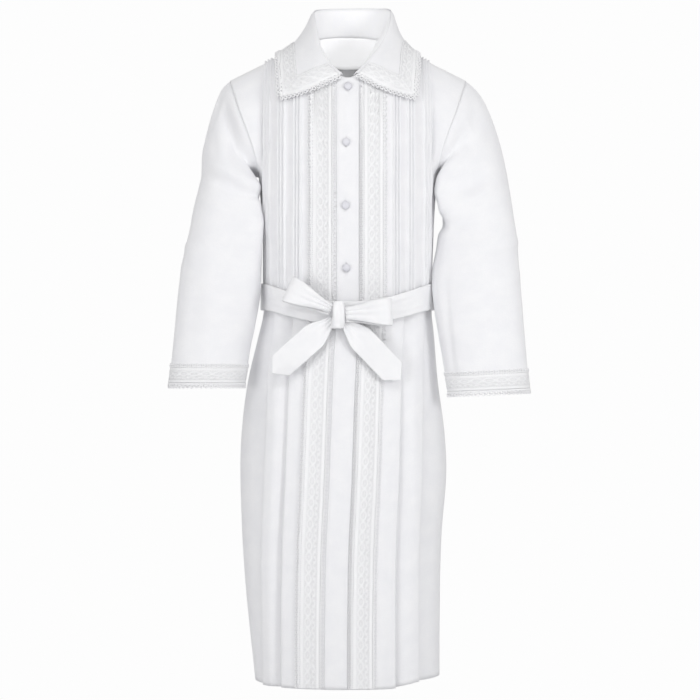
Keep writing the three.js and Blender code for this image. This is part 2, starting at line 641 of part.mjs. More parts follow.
function sleevePieces() {
  const pieces = new THREE.Group();
  for (const { name, side } of FRONTS) {
    const at = (turn, v) => mirrored(sleeveAt(name, turn, v), side);
    const outer = V(-side, 0, 0); // the middle of the turns is the side that faces the body
    const settle = (normal, turn, v) => v || normal.copy(mirrored(armholeLoop(turn).normal, side));
    const laceRows = [CUFF_TOP, 1, 1 + CUFF_OVER / SLEEVE_LONG];
    const loop = true;
    pieces.add(
      sheet(`sleeve_${name}`, cloth, at, outer, plain(SLEEVE_TURNS), SLEEVE_ROWS, -CLOTH, 0, { loop, settle }),
      sheet(`lace_cuff_${name}`, lace, at, outer, plain(SLEEVE_TURNS), laceRows, SEAM, SEAM + LACE, { loop }),
    );
  }
  return pieces;
}

// ---- Collar -----------------------------------------------------------------------------------------
// The neckline at a turn from centre back: 90 is the shoulder, 180 centre front; negative to the wearer's right.
function neckline(turn) {
  const side = turn < 0 ? -1 : 1;
  const face = abs(turn) < 90 ? 1 : -1;
  const x = NECK_HALF * sin(abs(turn) * RAD);
  return mirrored(shoulderPoint(x, neckTau(min(x, NECK_HALF - 1e-6), face), face), side);
}
const neckOut = (turn) => V(NECK_HALF * sin(turn * RAD), 70 * cos(turn * RAD), 0).normalize();

// The stand at a turn and a share of its height, up to the fold.
function standAt(turn, share) {
  const fold = track(COLLAR_FOLD, 'turn', turn);
  const base = neckline(turn).addScaledVector(neckOut(turn), -1);
  base.z += 3 * SEAM;
  return base.lerp(V(fold.x, fold.y, fold.z), share);
}

// The lie of the shoulders and chest at (x, y) from above, raised by `clear`.
function shoulderLie(x, y, clear) {
  const face = y < SHOULDER_Y ? -1 : 1;
  const reach = depthOf(BODY[0], x, face) - SHOULDER_Y;
  const s = min(0.999, abs((y - SHOULDER_Y) / reach));
  const point = shoulderPoint(x, Math.asin(s), face);
  const away = V(shoulderTop(x, face) < 0 ? sign(x) * SHOULDER_SLOPE : 0, s * face, sqrt(1 - s * s)).normalize();
  return point.addScaledVector(away, clear);
}

// Pushes a point off the chest or back until it is `clear` outside.
function keepOutside(point, clear) {
  const face = point.y < SHOULDER_Y ? -1 : 1;
  const top = shoulderTop(point.x, face);
  const c = min(1, max(0, (point.z - UNDERARM) / (top - UNDERARM)));
  const skin = SHOULDER_Y + (depthOf(BODY[0], point.x, face) - SHOULDER_Y) * sqrt(1 - c * c) + face * clear;
  const gap = (point.y - skin) * face;
  const soft = 3;
  const push = gap > soft ? 0 : gap < -soft ? -gap : (soft - gap) ** 2 / (4 * soft);
  return c < 1 ? V(point.x, point.y + face * push, point.z) : point;
}

// The leaf: g runs -1 to 1 from one front end round the back to the other, k 0 to 1 from the fold to the edge.
function leafAt(g, k) {
  const turn = g * COLLAR_END;
  const side = g < 0 ? -1 : 1;
  const fold = standAt(turn, 1).add(V(0, 0, SEAM + CLOTH * 1.2));
  const plan = track(COLLAR_EDGE, 'g', abs(g));
  const edge = shoulderLie(plan.x * side, plan.y, COLLAR_CLEAR);
  const roll = 3.2 * ease(min(1, k / 0.06)); // the cloth turns over the fold before it falls
  const point = fold.clone().lerp(edge, k).addScaledVector(neckOut(turn), roll * (1 - k));
  point.z += 2.5 * sin(PI * k) * (1 - abs(g) ** 4);
  return keepOutside(point, COLLAR_CLEAR - 0.6 * (1 - k));
}

// The same, running straight on past the leaf's edges.
function leafPast(g, k) {
  const [inG, inK] = [max(-1, min(1, g)), min(1, k)];
  const past = leafAt(inG, inK);
  if (k > 1) past.addScaledVector(leafAt(inG, 1).sub(leafAt(inG, 0.9)), (k - 1) / 0.1);
  if (inG !== g) past.addScaledVector(leafAt(inG, inK).sub(leafAt(inG * 0.98, inK)), (g / inG - 1) / 0.02);
  return past;
}

const HALF_TURNS = [20, 40, 60, 80, 96, 112, 130, 149, 160, 170];
const COLLAR_TURNS = [...HALF_TURNS.map((turn) => -turn).reverse(), 0, ...HALF_TURNS];
const LEAF_ROWS = [0, 0.06, 0.3, 0.58, 0.79, 1];
const LACE_FROM_K = 0.58; // the row and the column of the leaf at which its lace begins
const LACE_FROM_G = 0.87;
const LACE_PAST = 0.02;

function collarPieces() {
  const stand = sheet('collar_stand', cloth, standAt, BACK, plain(COLLAR_TURNS), [0, 0.5, 1], -CLOTH, 0);
  const gs = COLLAR_TURNS.map((turn) => turn / COLLAR_END);
  const leaf = sheet('collar_leaf', cloth, leafAt, BACK, plain(gs), LEAF_ROWS, 0, CLOTH);

  // The lace lies on the leaf along its front edges and its outer edge, and stands out a little past them.
  const wide = [-1 - LACE_PAST / 2, ...gs, 1 + LACE_PAST / 2];
  const deep = [...LEAF_ROWS.slice(1), 1 + LACE_PAST];
  const past = (column) => abs(wide[column] + wide[column + 1]) / 2 > LACE_FROM_G;
  const covers = (row, column) => deep[row] >= LACE_FROM_K || past(column);
  const [low, high] = [CLOTH + SEAM, CLOTH + SEAM + LACE];
  const trim = sheet('lace_collar', lace, leafPast, BACK, plain(wide), deep, low, high, { covers });
  return new THREE.Group().add(stand, leaf, trim);
}

// ---- Belt and bow -----------------------------------------------------------------------------------
function beltPiece() {
  const turns = [...steps(-180, 150, 22), 165].map((t) => t * RAD);
  const at = (angle, v, lift) => {
    const front = max(0, cos(angle));
    const row = track(BODY, 'z', WAIST);
    const z = WAIST - (WAIST_DIP + 2) * front ** 3 + (BELT_WIDE / 2 - 4 * front ** 2) * v;
    const reach = (cos(angle) > 0 ? row.front : row.back) + BELT_CLEAR + lift;
    const x = (row.half + BELT_CLEAR + lift) * sign(sin(angle)) * abs(sin(angle)) ** (2 / ROUND);
    return V(x, -reach * sign(cos(angle)) * abs(cos(angle)) ** (2 / ROUND), z);
  };
  const layer = (lift) => [-1, 0, 1].map((v) => turns.map((angle) => at(angle, v, lift)));
  return wall('belt', satin, layer(SASH), layer(0), true);
}

const KNOT = V(-18, -131, -524);
const LOOPS = {
  right: { long: 91, angle: 154, rise: 4, root: 7.5, end: 24, bulge: 12, roll: 5 },
  left: { long: 88, angle: 3, rise: 1, root: 11, end: 24.5, bulge: 12, roll: -5 },
};
const TAILS = {
  right: { long: 149, angle: 221.5, root: 9, end: 24.5, out: -9, back: 11.6 },
  left: { long: 153, angle: 314, root: 9, end: 24, out: -5, back: 11.6 },
};
const LOOP_FROM = 10; // how far out from the knot's middle the loops begin
const TAIL_POINT = 22; // how far the tails' ends come to a point

// A bow loop: the sash runs out in front, turns at the end and comes back behind. k goes along it, w across.
function loopAt({ long, angle, root, end, bulge, roll }, k, w) {
  const along = long * sin(PI * mix(0.006, 0.994, k)) ** 0.8;
  const gather = mix(root, end, ease(min(1, along / long)));
  const swing = bulge * sin(2 * PI * k) + 1.8 * cos(PI * k);
  const tilt = roll * (k - 0.25);
  const a = angle * RAD;
  const across = w * gather + tilt;
  return V(along * cos(a) - across * sin(a), -swing, along * sin(a) + across * cos(a));
}

function bowPieces() {
  const bow = new THREE.Group();
  bow.position.copy(KNOT);
  // The knot is one turn of sash pulled tight: an upright oval, narrower at the top, with soft creases.
  const rings = steps(-1, 1, 9).slice(1, -1);
  const spots = steps(0, 360, 14).slice(0, -1);
  const points = [V(0, 0, -25), V(0, 0, 25)];
  for (const h of rings)
    for (const t of spots) {
      const wide = sqrt(1 - 0.66 * h ** 4) * (1 - 0.24 * h) * (1 + 0.06 * cos(3 * t * RAD + 2 * h));
      points.push(V(11 * wide * cos(t * RAD) + 1.5 * h, 9.5 * wide * sin(t * RAD), 25 * sin((h * PI) / 2)));
    }
  const knotFaces = [];
  const id = (ring, spot) => 2 + ring * spots.length + (spot % spots.length);
  for (let s = 0; s < spots.length; s++) {
    knotFaces.push(0, id(0, s + 1), id(0, s));
    for (let r = 0; r < rings.length - 1; r++) {
      knotFaces.push(id(r, s), id(r, s + 1), id(r + 1, s + 1));
      knotFaces.push(id(r, s), id(r + 1, s + 1), id(r + 1, s));
    }
    knotFaces.push(1, id(rings.length - 1, s), id(rings.length - 1, s + 1));
  }
  bow.add(closedMesh('bow_knot', satin, points, knotFaces));

  for (const [name, loop] of Object.entries(LOOPS)) {
    const ks = steps(0, 1, 16);
    const centre = (k, w) => loopAt(loop, k, w);
    const grid = (way) =>
      [-1, -0.35, 0.35, 1].map((w) =>
        ks.map((k) => {
          const [a, b] = [centre(max(0, k - 0.02), w), centre(min(1, k + 0.02), w)];
          const run = b.sub(a);
          const spread = centre(k, w + 0.1).sub(centre(k, w - 0.1));
          const normal = run.cross(spread).normalize();
          const start = V(LOOP_FROM * cos(loop.angle * RAD), 0, LOOP_FROM * sin(loop.angle * RAD) + loop.rise);
          return centre(k, w).add(start).addScaledVector(normal, (way * SASH) / 2);
        }),
      );
    bow.add(wall(`bow_loop_${name}`, satin, grid(1), grid(-1)));
  }
  for (const [name, tail] of Object.entries(TAILS)) {
    const a = tail.angle * RAD;
    const grid = (way) =>
      steps(0, 1, 9).map((k) =>
        [-1, -0.5, 0, 0.5, 1].map((w) => {
          const across = w * mix(tail.root, tail.end, ease(min(1, k * 2.8)));
          const out = 12 + k * (tail.long - (abs(w) * TAIL_POINT) * k);
          const twist = 2.2 * sin(2.4 * PI * k) * w;
          const y = tail.back + tail.out * sin(PI * k) - 4 * k + twist + (way * SASH) / 2;
          return V(out * cos(a) - across * sin(a), y, out * sin(a) + across * cos(a));
        }),
      );
    bow.add(wall(`bow_tail_${name}`, satin, grid(-1), grid(1)));
  }
  return bow;
}

// ---- Buttons ----------------------------------------------------------------------------------------
// A cloth-covered button: a dome over a flat underside.
function buttonPieces() {
  const buttons = new THREE.Group();
  const profile = [
    new THREE.Vector2(0, 0),
    new THREE.Vector2(BUTTON_R * 0.72, 0),
    ...steps(-0.25, 1, 5).slice(0, -1).map((f) => {
      const a = (f * PI) / 2;
      return new THREE.Vector2(BUTTON_R * cos(a), 1.9 + (BUTTON_HIGH - 1.9) * sin(a));
    }),
    new THREE.Vector2(0, BUTTON_HIGH),
  ];
  BUTTONS.forEach(({ x, z }, i) => {
    const c = (z - UNDERARM) / (shoulderTop(0, -1) - UNDERARM);
    const row = track(BODY, 'z', z);
    const chest = z > UNDERARM;
    const chestY = SHOULDER_Y + (depthOf(BODY[0], x, -1) - SHOULDER_Y) * sqrt(1 - c * c);
    const y = chest ? chestY : depthOf(row, x, -1);
    const lean = chest ? Math.atan2(c * 120, sqrt(1 - c * c) * 262) : 0;
    const button = new THREE.Mesh(new THREE.LatheGeometry(profile, 14), satin);
    button.name = `button_${i + 1}`;
    const lift = CLOTH + 2 * SEAM + 0.2;
    button.position.set(x, y - lift * cos(lean), z + lift * sin(lean));
    button.rotation.x = PI - lean;
    buttons.add(button);
  });
  return buttons;
}

const kittel = new THREE.Group();
kittel.add(bodicePieces(), skirtPieces(), sleevePieces(), collarPieces());
kittel.add(beltPiece(), bowPieces(), buttonPieces());
export default kittel;
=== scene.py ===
# %% [markdown]
# # A kittel
# A kittel is a plain white robe of thin cotton, worn over other clothes on holy days. This one is filled out
# as if worn, though nobody is in it. It is cut from flat pieces that are sewn into tubes, so the whole lesson
# is about surfaces: every piece is a sheet of points worked out from two numbers, one running across the
# cloth and one running along it. The frame that is loaded first holds the stiff, plain form of each piece, in
# the same place. Each cloth here lies on that form and adds what a needle and an iron add: tucks, creases,
# lace and stitches.

# %% Load the frame
import math
import bpy
import numpy as np
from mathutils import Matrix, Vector


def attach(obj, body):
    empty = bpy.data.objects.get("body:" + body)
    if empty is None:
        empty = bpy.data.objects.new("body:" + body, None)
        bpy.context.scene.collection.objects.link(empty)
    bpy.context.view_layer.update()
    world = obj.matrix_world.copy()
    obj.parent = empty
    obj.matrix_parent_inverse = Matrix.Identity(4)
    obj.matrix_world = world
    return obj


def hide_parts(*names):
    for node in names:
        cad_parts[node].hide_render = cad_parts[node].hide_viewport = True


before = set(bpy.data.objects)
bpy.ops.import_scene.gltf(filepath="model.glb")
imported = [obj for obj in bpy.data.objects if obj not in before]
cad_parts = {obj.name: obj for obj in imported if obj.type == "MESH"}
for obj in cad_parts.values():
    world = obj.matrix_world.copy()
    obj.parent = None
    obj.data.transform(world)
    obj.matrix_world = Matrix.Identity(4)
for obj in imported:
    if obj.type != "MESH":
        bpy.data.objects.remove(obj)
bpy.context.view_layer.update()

# %% [markdown]
# ## Sizes
# A tailor works in millimetres, so the shapes are worked out in millimetres and only turned into metres when
# they become a mesh. The origin is the middle of the neck opening, +Z is up and the front looks along -Y.
# Small tables with named columns hold the sections of the body that the cloth goes round.

# %% Driving sizes
MM = 0.001
CLOTH, SASH = 1.2, 1.6  # thickness of the cloth and of the sash
SEAM = 0.3  # gap that is left where two pieces are sewn together
ROUND = 2.3  # power of the body's rounded-oval sections; 2 is an ellipse
NECK_HALF, NECK_FRONT, NECK_BACK, NAPE = 62, 92, 50, 52  # the neckline's reach sideways, front, back and up
SHOULDER_Y, SHOULDER_SLOPE, UNDERARM = 4, 0.5, -262
WAIST, WAIST_DIP, HEM, HEM_LIFT = -488, 30, -1207, 10  # the waist dips in front, the hem rises on the left
BAND_HALF, BAND_UNDER, LACE_IN, LACE_OUT = 20, 8, 25, 69  # from centre front; a front runs under the band
TUCK_WIDE, TUCK_HIGH, TUCK_PITCH, TUCKS_EACH = 3.4, 2.3, 5.6, 3
TUCK_GROUPS = {"right": (84, 113, 140), "left": (81, 107, 137)}  # where each group of tucks starts
SIDE_FROM, SIDE_RUN = 156, 60  # where a panel starts to turn round the side, and how far on its seam is
SIDES = {"right": -1, "left": 1}  # the wearer's right is at -X
FRONT_EDGE = {"right": BAND_HALF - BAND_UNDER, "left": BAND_UNDER + 2 - BAND_HALF}


def table(names, *rows):
    """Rows of numbers as named columns."""
    return dict(zip(names.split(), np.array(rows, float).T))


BODY = table(
    "z half front back",
    (UNDERARM, 168, 120, 106), (-330, 163, 119, 102), (-400, 160, 117, 97),
    (-450, 158, 114, 94), (-490, 156, 107, 91), (-524, 157, 105, 92),
)
SKIRT = table(
    "z half front back shift band step",
    (-484, 154, 103, 89, 0, 0, 2.3), (-524, 156, 103, 93, -1, -2, 2.4), (-560, 162, 106, 101, -3, -4, 2.6),
    (-645, 174, 111, 116, -9, -8, 3.3), (-740, 184, 114, 125, -9, -11, 3.9),
    (-830, 187, 115, 128, -8, -14, 4.3), (-946, 181, 114, 125, -11, -19, 4.6),
    (-1085, 174, 113, 120, -7, -21, 4.9), (HEM, 168, 112, 117, -1, -21, 5.2),
)
PLEAT_UNDER = 15  # how far a knife pleat tucks back under itself
FRONT_FOLDS = {"right": (98, 141), "left": (104, 150)}
BACK_FOLDS = (44, 91, 138)
ARMHOLE = table(
    "w x front back z",
    (0, 168, 0, 0, UNDERARM), (0.06, 170, -42, 44, -245), (0.174, 177, -57, 60, -213),
    (0.318, 190, -55, 59, -175), (0.465, 203, -44, 48, -141), (0.607, 212, -29, 34, -114),
    (0.753, 219, -13, 19, -94), (1, 223, SHOULDER_Y, SHOULDER_Y, -80.5),
)
ARM_ROWS = np.array([0, 0.05, 0.12, 0.21, 0.32, 0.44, 0.57, 0.71, 0.86, 1])  # up the armhole, by its w

# %% [markdown]
# ## Small tools
# Reading a table between its rows is the one thing that every section needs. A straight line between rows
# would leave a kink at each of them, so a cubic is used whose slope at a row is the slope between its two
# neighbours.

# %% Small tools


def mix(a, b, f):
    """a where f is 0, b where it is 1, and straight between them."""
    return a + (b - a) * f


def ease(f):
    """0 to 1 with a level start and end: 3 f squared minus 2 f cubed."""
    f = np.clip(f, 0, 1)
    return f * f * (3 - 2 * f)


def bell(d):
    """1 at the middle and almost 0 from 2 on: e to the minus d squared."""
    return np.exp(-d * d)


def points(x, y, z):
    """Points from three arrays that may need repeating to one shape."""
    return np.stack(np.broadcast_arrays(np.asarray(x, float), y, z), -1)


def unit(v):
    """Each vector divided by its length."""
    return v / np.maximum(np.linalg.norm(v, axis=-1, keepdims=True), 1e-9)


def cubic(a, b, slope_a, slope_b, f):
    """The curve from a to b that leaves with slope_a and arrives with slope_b."""
    g = 1 - f
    return a * (1 + 2 * f) * g * g + slope_a * f * g * g + b * f * f * (3 - 2 * f) - slope_b * f * f * g


def read(rows, by, where):
    """Every column of a table at the values `where` of its column `by`."""
    knots = rows[by]
    way = np.sign(knots[-1] - knots[0])
    last = len(knots) - 1
    a = np.clip(np.searchsorted(way * knots, way * np.asarray(where, float)) - 1, 0, last - 1)
    b, before, after = a + 1, np.maximum(a - 1, 0), np.minimum(a + 2, last)
    span = knots[b] - knots[a]
    f = np.clip((where - knots[a]) / span, 0, 1)
    found = {}
    for name, column in rows.items():
        slope_a = (column[b] - column[before]) / (knots[b] - knots[before]) * span
        slope_b = (column[after] - column[a]) / (knots[after] - knots[a]) * span
        found[name] = cubic(column[a], column[b], slope_a, slope_b, f)
    return found


def normals_of(grid, loop=False, out=(0, -1, 0)):
    """Outward directions of a surface: the cross product of its runs, turned towards `out` at the middle."""
    if loop:
        across = np.roll(grid, -1, 1) - np.roll(grid, 1, 1)
    else:
        across = np.gradient(grid, axis=1)
    normals = unit(np.cross(across, np.gradient(grid, axis=0)))
    middle = normals[grid.shape[0] // 2, grid.shape[1] // 2]
    return normals if middle @ np.array(out) > 0 else -normals


def spaced(*stops, step):
    """Numbers from each stop to the next, at most `step` apart, with no stop twice."""
    runs = [(a, b, max(2, math.ceil(abs(b - a) / step) + 1)) for a, b in zip(stops, stops[1:])]
    return np.concatenate([*(np.linspace(a, b, count)[:-1] for a, b, count in runs), [stops[-1]]])


# %% [markdown]
# ## Cloth from a grid
# A woven piece could be made as a thick block, but real cloth is one surface with a little thickness, and
# Blender's Solidify modifier is made for that. So each piece is a grid of points, one face to a cell, and the
# modifier gives it two sides and an edge. The UV map holds the place on the flat cloth in metres, so a weave
# that reads it stays the same size on every piece and follows each curve. A cover, where there is one, says
# which cells have cloth in them, which is how lace gets its holes.

# %% Cloth maker


def flat_places(grid):
    """Metres across and along the cloth: mean distances between neighbouring columns and rows, added up."""
    across = np.linalg.norm(np.diff(grid, axis=1), axis=-1).mean(0)
    along = np.linalg.norm(np.diff(grid, axis=0), axis=-1).mean(1)
    u = np.concatenate([[0], np.cumsum(across)]) * MM
    v = np.concatenate([[0], np.cumsum(along)]) * MM
    return np.stack(np.meshgrid(u, v), -1)


def cell_area(grid):
    """Square metres of each cell: half the length of the cross product of its diagonals."""
    one, two = grid[1:, 1:] - grid[:-1, :-1], grid[1:, :-1] - grid[:-1, 1:]
    return np.linalg.norm(np.cross(one, two), axis=-1) / 2 * MM * MM


def linked(mesh):
    """An object that shows the mesh, shaded smooth."""
    mesh.polygons.foreach_set("use_smooth", np.ones(len(mesh.polygons), bool))
    piece = bpy.data.objects.new(mesh.name, mesh)
    bpy.context.scene.collection.objects.link(piece)
    return piece


def mesh_piece(name, grid, out, loop=False, cover=None, flat=None, ground=None):
    """An object whose mesh is the grid, with faces that point towards `out` at its middle."""
    if loop:
        grid = np.concatenate([grid, grid[:, :1]], 1)
    rows, columns = grid.shape[:2]
    flat = flat_places(grid) if flat is None else flat
    unique = columns - 1 if loop else columns
    r, c = np.meshgrid(np.arange(rows - 1), np.arange(columns - 1), indexing="ij")
    keep = np.ones(r.shape, bool) if cover is None else cover
    r, c = r[keep], c[keep]
    corner_r = np.stack([r, r, r + 1, r + 1], 1)
    corner_c = np.stack([c, c + 1, c + 1, c], 1)
    middle = grid[rows // 2, columns // 2]
    across = grid[rows // 2, columns // 2 - 1] - middle
    along = grid[rows // 2 - 1, columns // 2] - middle
    if np.cross(across, along) @ np.array(out) < 0:
        corner_r, corner_c = corner_r[:, ::-1], corner_c[:, ::-1]
    quads = corner_r * unique + corner_c % unique
    used, quads = np.unique(quads, return_inverse=True)
    quads = quads.reshape(-1, 4)
    spots = grid[:, :unique].reshape(-1, 3)[used] * MM
    mesh = bpy.data.meshes.new(name)
    mesh.vertices.add(len(spots))
    mesh.vertices.foreach_set("co", spots.ravel())
    mesh.loops.add(quads.size)
    mesh.loops.foreach_set("vertex_index", quads.ravel().astype(np.int32))
    mesh.polygons.add(len(quads))
    mesh.polygons.foreach_set("loop_start", np.arange(0, quads.size, 4, dtype=np.int32))
    mesh.update(calc_edges=True)
    places = flat[corner_r, corner_c]
    mesh.uv_layers.new(name="flat").data.foreach_set("uv", places.ravel().astype(np.float32))
    if ground is not None:
        shares = mesh.attributes.new("ground", "FLOAT", "POINT").data
        shares.foreach_set("value", ground[:, :unique].ravel()[used])
    mesh.validate()
    return linked(mesh)


def finish_piece(piece, stands_for, finish):
    """Gives the piece its finish and the body that it moves with, and hides the frame's parts that it stands
    for.
    """
    piece.data.materials.append(finish)
    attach(piece, "root")
    if stands_for:
        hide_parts(*stands_for)
    return piece


def cloth_piece(name, grid, finish, thick=CLOTH, out=(0, -1, 0), side=-1, loop=False,
                cover=None, flat=None, ground=None, cut=None):
    """A sheet of cloth on a grid. side -1 thickens it inwards, 1 outwards and 0 both ways. cut is the flat
    width, length and area in metres, where they aren't those of the grid."""
    piece = mesh_piece(f"{name}_worn", grid, out, loop, cover, flat, ground)
    shell = piece.modifiers.new("thickness", "SOLIDIFY")
    shell.thickness = thick * MM
    shell.offset = side
    finish_piece(piece, [name], finish)
    if flat is None:
        closed = np.concatenate([grid, grid[:, :1]], 1) if loop else grid
        areas = cell_area(closed)
        width = float(np.linalg.norm(np.diff(closed, axis=1), axis=-1).sum(1).max()) * MM
        length = float(np.linalg.norm(np.diff(closed, axis=0), axis=-1).sum(0).max()) * MM
    else:
        areas = cell_area(np.concatenate([flat, 0 * flat[..., :1]], -1)) / MM**2
        width, length = sorted(float(np.ptp(flat[..., i])) for i in (0, 1))
    area = float(areas.sum() if cover is None else areas[cover].sum())
    width, length, area = cut or (width, length, area)
    area = min(area, width * length)
    print(f"{name}: cut {width * 1000:.0f} x {length * 1000:.0f} mm, {len(piece.data.polygons)} cells")
    return piece


# %% [markdown]
# ## Creases
# Worn cotton is never quite even. A cloth simulation would crease it, but not where a real robe creases, so
# the main folds are listed one by one: each is a line on the flat cloth from one place to another, with its
# own bow, width and height. The height fades out towards the line's ends, and a shallow trough runs beside
# it, as the cloth that a fold lifts is borrowed from its neighbour. Very low waves, a hand's width long, do
# the rest.

# %% Creases


def creases(a, b, rows):
    """Lift at places (a, b) in mm from lines, each a row of a0, b0, a1, b1, bow, width and lift: the height
    times a bell across the line, minus a third of it nearly two widths away, times a swell along the line and
    a bell past its ends."""
    total = np.zeros(np.broadcast(a, b).shape)
    for a0, b0, a1, b1, bow, wide, lift in rows:
        run_a, run_b = a1 - a0, b1 - b0
        long = math.hypot(run_a, run_b)
        share = ((a - a0) * run_a + (b - b0) * run_b) / long**2
        near = np.clip(share, 0, 1)
        off = ((a - a0) * run_b - (b - b0) * run_a) / long - bow * 4 * near * (1 - near)
        past = (share - near) * long / (1.3 * wide)
        across = bell(off / wide) - 0.35 * bell((off - 1.7 * wide) / wide)
        total += lift * across * bell(past) * (0.35 + 0.65 * np.sin(math.pi * near))
    return total


def rumple(a, b, size):
    """Low uneven waves: three sines that lean different ways and bend each other."""
    one = np.sin(a / 23 + 1.3 * np.sin(b / 57) + 0.4)
    two = np.sin(b / 41 + 0.9 * np.sin(a / 37 + 1.1))
    three = np.sin(a / 13 - b / 71 + 2.0 * np.sin(b / 89))
    return size * (0.5 * one + 0.3 * two + 0.2 * three)

# %% [markdown]
# ## Writing shader maths as Python
# A material is a graph of nodes, and a formula drawn with nodes is hard to read. The small class below wraps
# one socket of the graph and gives it Python's arithmetic: each operation adds the Math node that works it
# out. Numbers that are the same all over a surface stay Python numbers and are set on the shader's own
# sockets.

# %% Sockets with arithmetic


class Value:
    """One output socket of a material, which can be added, multiplied and compared as a number."""

    def __init__(self, maker, socket):
        self.maker, self.socket = maker, socket

    def math(self, operation, *others):
        return self.maker.node("ShaderNodeMath", {"operation": operation}, *others)["Value"]

    def __add__(self, other):
        return self.math("ADD", self, other)

    def __sub__(self, other):
        return self.math("SUBTRACT", self, other)

    def __rsub__(self, other):
        return self.math("SUBTRACT", other, self)

    def __mul__(self, other):
        return self.math("MULTIPLY", self, other)

    __radd__, __rmul__ = __add__, __mul__

    def sine(self):
        return self.math("SINE", self)

    def above(self, low, high):
        """0 below low, 1 above high and smooth between."""
        settings = {"interpolation_type": "SMOOTHSTEP"}
        return self.maker.node("ShaderNodeMapRange", settings, self, low, high, 0.0, 1.0)["Result"]


class Finish:
    """A material under construction, with one method that makes any node."""

    def __init__(self, name):
        self.material = bpy.data.materials.new(name)
        self.material.use_nodes = True
        self.tree = self.material.node_tree
        self.tree.nodes.clear()

    def node(self, kind, settings=None, *values, **named):
        """The outputs of a new node of this kind: its settings are set first, then its sockets, in order or
        by name."""
        node = self.tree.nodes.new(kind)
        for key, value in (settings or {}).items():
            setattr(node, key, value)
        sockets = [(node.inputs[i], value) for i, value in enumerate(values)]
        sockets += [(node.inputs[key.replace("_", " ")], value) for key, value in named.items()]
        for socket, value in sockets:
            if isinstance(value, Value):
                self.tree.links.new(value.socket, socket)
            else:
                socket.default_value = value
        return {output.name: Value(self, output) for output in node.outputs}

    def blend(self, factor, one, two):
        """Colour one where factor is 0 and two where it is 1."""
        node = self.tree.nodes.new("ShaderNodeMix")
        node.data_type = "RGBA"
        self.tree.links.new(factor.socket, node.inputs["Factor"])
        for key, colour in (("A", one), ("B", two)):
            socket = next(s for s in node.inputs if s.name == key and s.type == "RGBA")
            socket.default_value = (*colour, 1)
        return Value(self, next(s for s in node.outputs if s.type == "RGBA"))

    def noise(self, place, scale, detail, roughness=0.5):
        """Soft lumps from 0 to 1, about 1 / scale metres from one to the next."""
        settings = {"noise_dimensions": "3D"}
        return self.node("ShaderNodeTexNoise", settings, Vector=place, Scale=scale, Detail=detail,
                         Roughness=roughness)["Fac"]

    def surface(self, colour, roughness, height, constants):
        """The shader and its output: colour and roughness vary, height in metres goes through a bump."""
        bump = self.node("ShaderNodeBump", None, Strength=1.0, Distance=1.0, Height=height)["Normal"]
        shader = self.node("ShaderNodeBsdfPrincipled", None, Base_Color=colour, Roughness=roughness,
                           Normal=bump)
        for key, value in constants.items():
            shader["BSDF"].socket.node.inputs[key].default_value = value
        self.node("ShaderNodeOutputMaterial", None, Surface=shader["BSDF"])
        return self.material


# %% [markdown]
# ## White cotton
# Close up, white cotton is a plain weave: threads half a millimetre apart that pass over and under each
# other. Its height is one sine across the cloth times one along it. From further off it shows soft, uneven
# thickness and faint creases left by the iron. White is not quite white either: thin places are a little
# greyer and bluer. Inside the neck, light would also come through the thin cloth from behind. A solid wall
# leaves that out, so the two pieces there get a painted glow: they give off a little light of their own.

# %% Cotton finish
THREAD = 0.00052  # metres from one thread to the next
SLUB, CRUSH = 420.0, 26.0  # uneven places of the thread, and of the ironed cloth, to the metre


def flat_place(finish):
    """The place on the flat cloth, in metres: both together, then across and along as numbers."""
    uv = finish.node("ShaderNodeUVMap", {"uv_map": "flat"})["UV"]
    parts = finish.node("ShaderNodeSeparateXYZ", None, uv)
    return uv, parts["X"], parts["Y"]


def cotton_finish(name, white=(0.87, 0.87, 0.885), shade=(0.83, 0.832, 0.855), roughness=0.62,
                  weave_depth=0.00002, glow=0):
    """Plain-woven cotton: colour from white to shade by its slubs, and a weave that stands weave_depth high.
    glow is a painted glow, an emission that stands in for light coming through the cloth from behind."""
    finish = Finish(name)
    uv, across, along = flat_place(finish)
    turn = math.pi / THREAD
    weave = (across * turn).sine() * (along * turn).sine()
    slub, crush = finish.noise(uv, SLUB, 2.0), finish.noise(uv, CRUSH, 4.0, 0.55)
    tint = finish.blend((slub * 0.35 + crush * 0.65).above(0.35, 0.7), shade, white)
    height = weave * weave_depth + slub * 0.00006 + crush * 0.0011
    constants = {"Sheen Weight": 0.12, "Sheen Roughness": 0.5, "Specular IOR Level": 0.3,
                 "Emission Color": (1, 1, 1, 1), "Emission Strength": glow}
    return finish.surface(tint, crush * 0.12 + roughness, height, constants)


cotton = cotton_finish("cotton")
# Painted glow: these two finishes give off light of their own, standing in for light through the cloth from
# behind.
cotton_with_painted_glow = cotton_finish("cotton lit from behind", glow=0.5)
cotton_with_half_painted_glow = cotton_finish("cotton half lit from behind", glow=0.14)

# %% [markdown]
# ## Sash satin and lace thread
# The sash is the same cotton in a satin weave. Its threads float over several others, so it shines along
# them: the weave is one fine sine and the roughness is lower. Lace is made of twisted thread, so its bump is
# a rope of slanted lines, and the ground between its flowers is a net of small holes. Its holes, and a little
# its whole net, are drawn darker with painted shade, for the cloth that lies in shade below.

# %% Satin and lace finishes
RIB = 0.0004  # metres from one rib of the satin to the next
NET = 0.0021  # and from one hole of the net to the next


def satin_finish(name, white, shade):
    """Satin-woven cotton: a fine rib across the cloth, and soft crush marks."""
    finish = Finish(name)
    uv, across = flat_place(finish)[:2]
    rib = (across * (2 * math.pi / RIB)).sine()
    crush = finish.noise(uv, 32.0, 3.0)
    tint = finish.blend(crush.above(0.3, 0.7), shade, white)
    height = rib * 0.000008 + crush * 0.0011
    return finish.surface(tint, crush * 0.15 + 0.4, height,
                          {"Sheen Weight": 0.1, "Specular IOR Level": 0.4, "Anisotropic": 0.3})


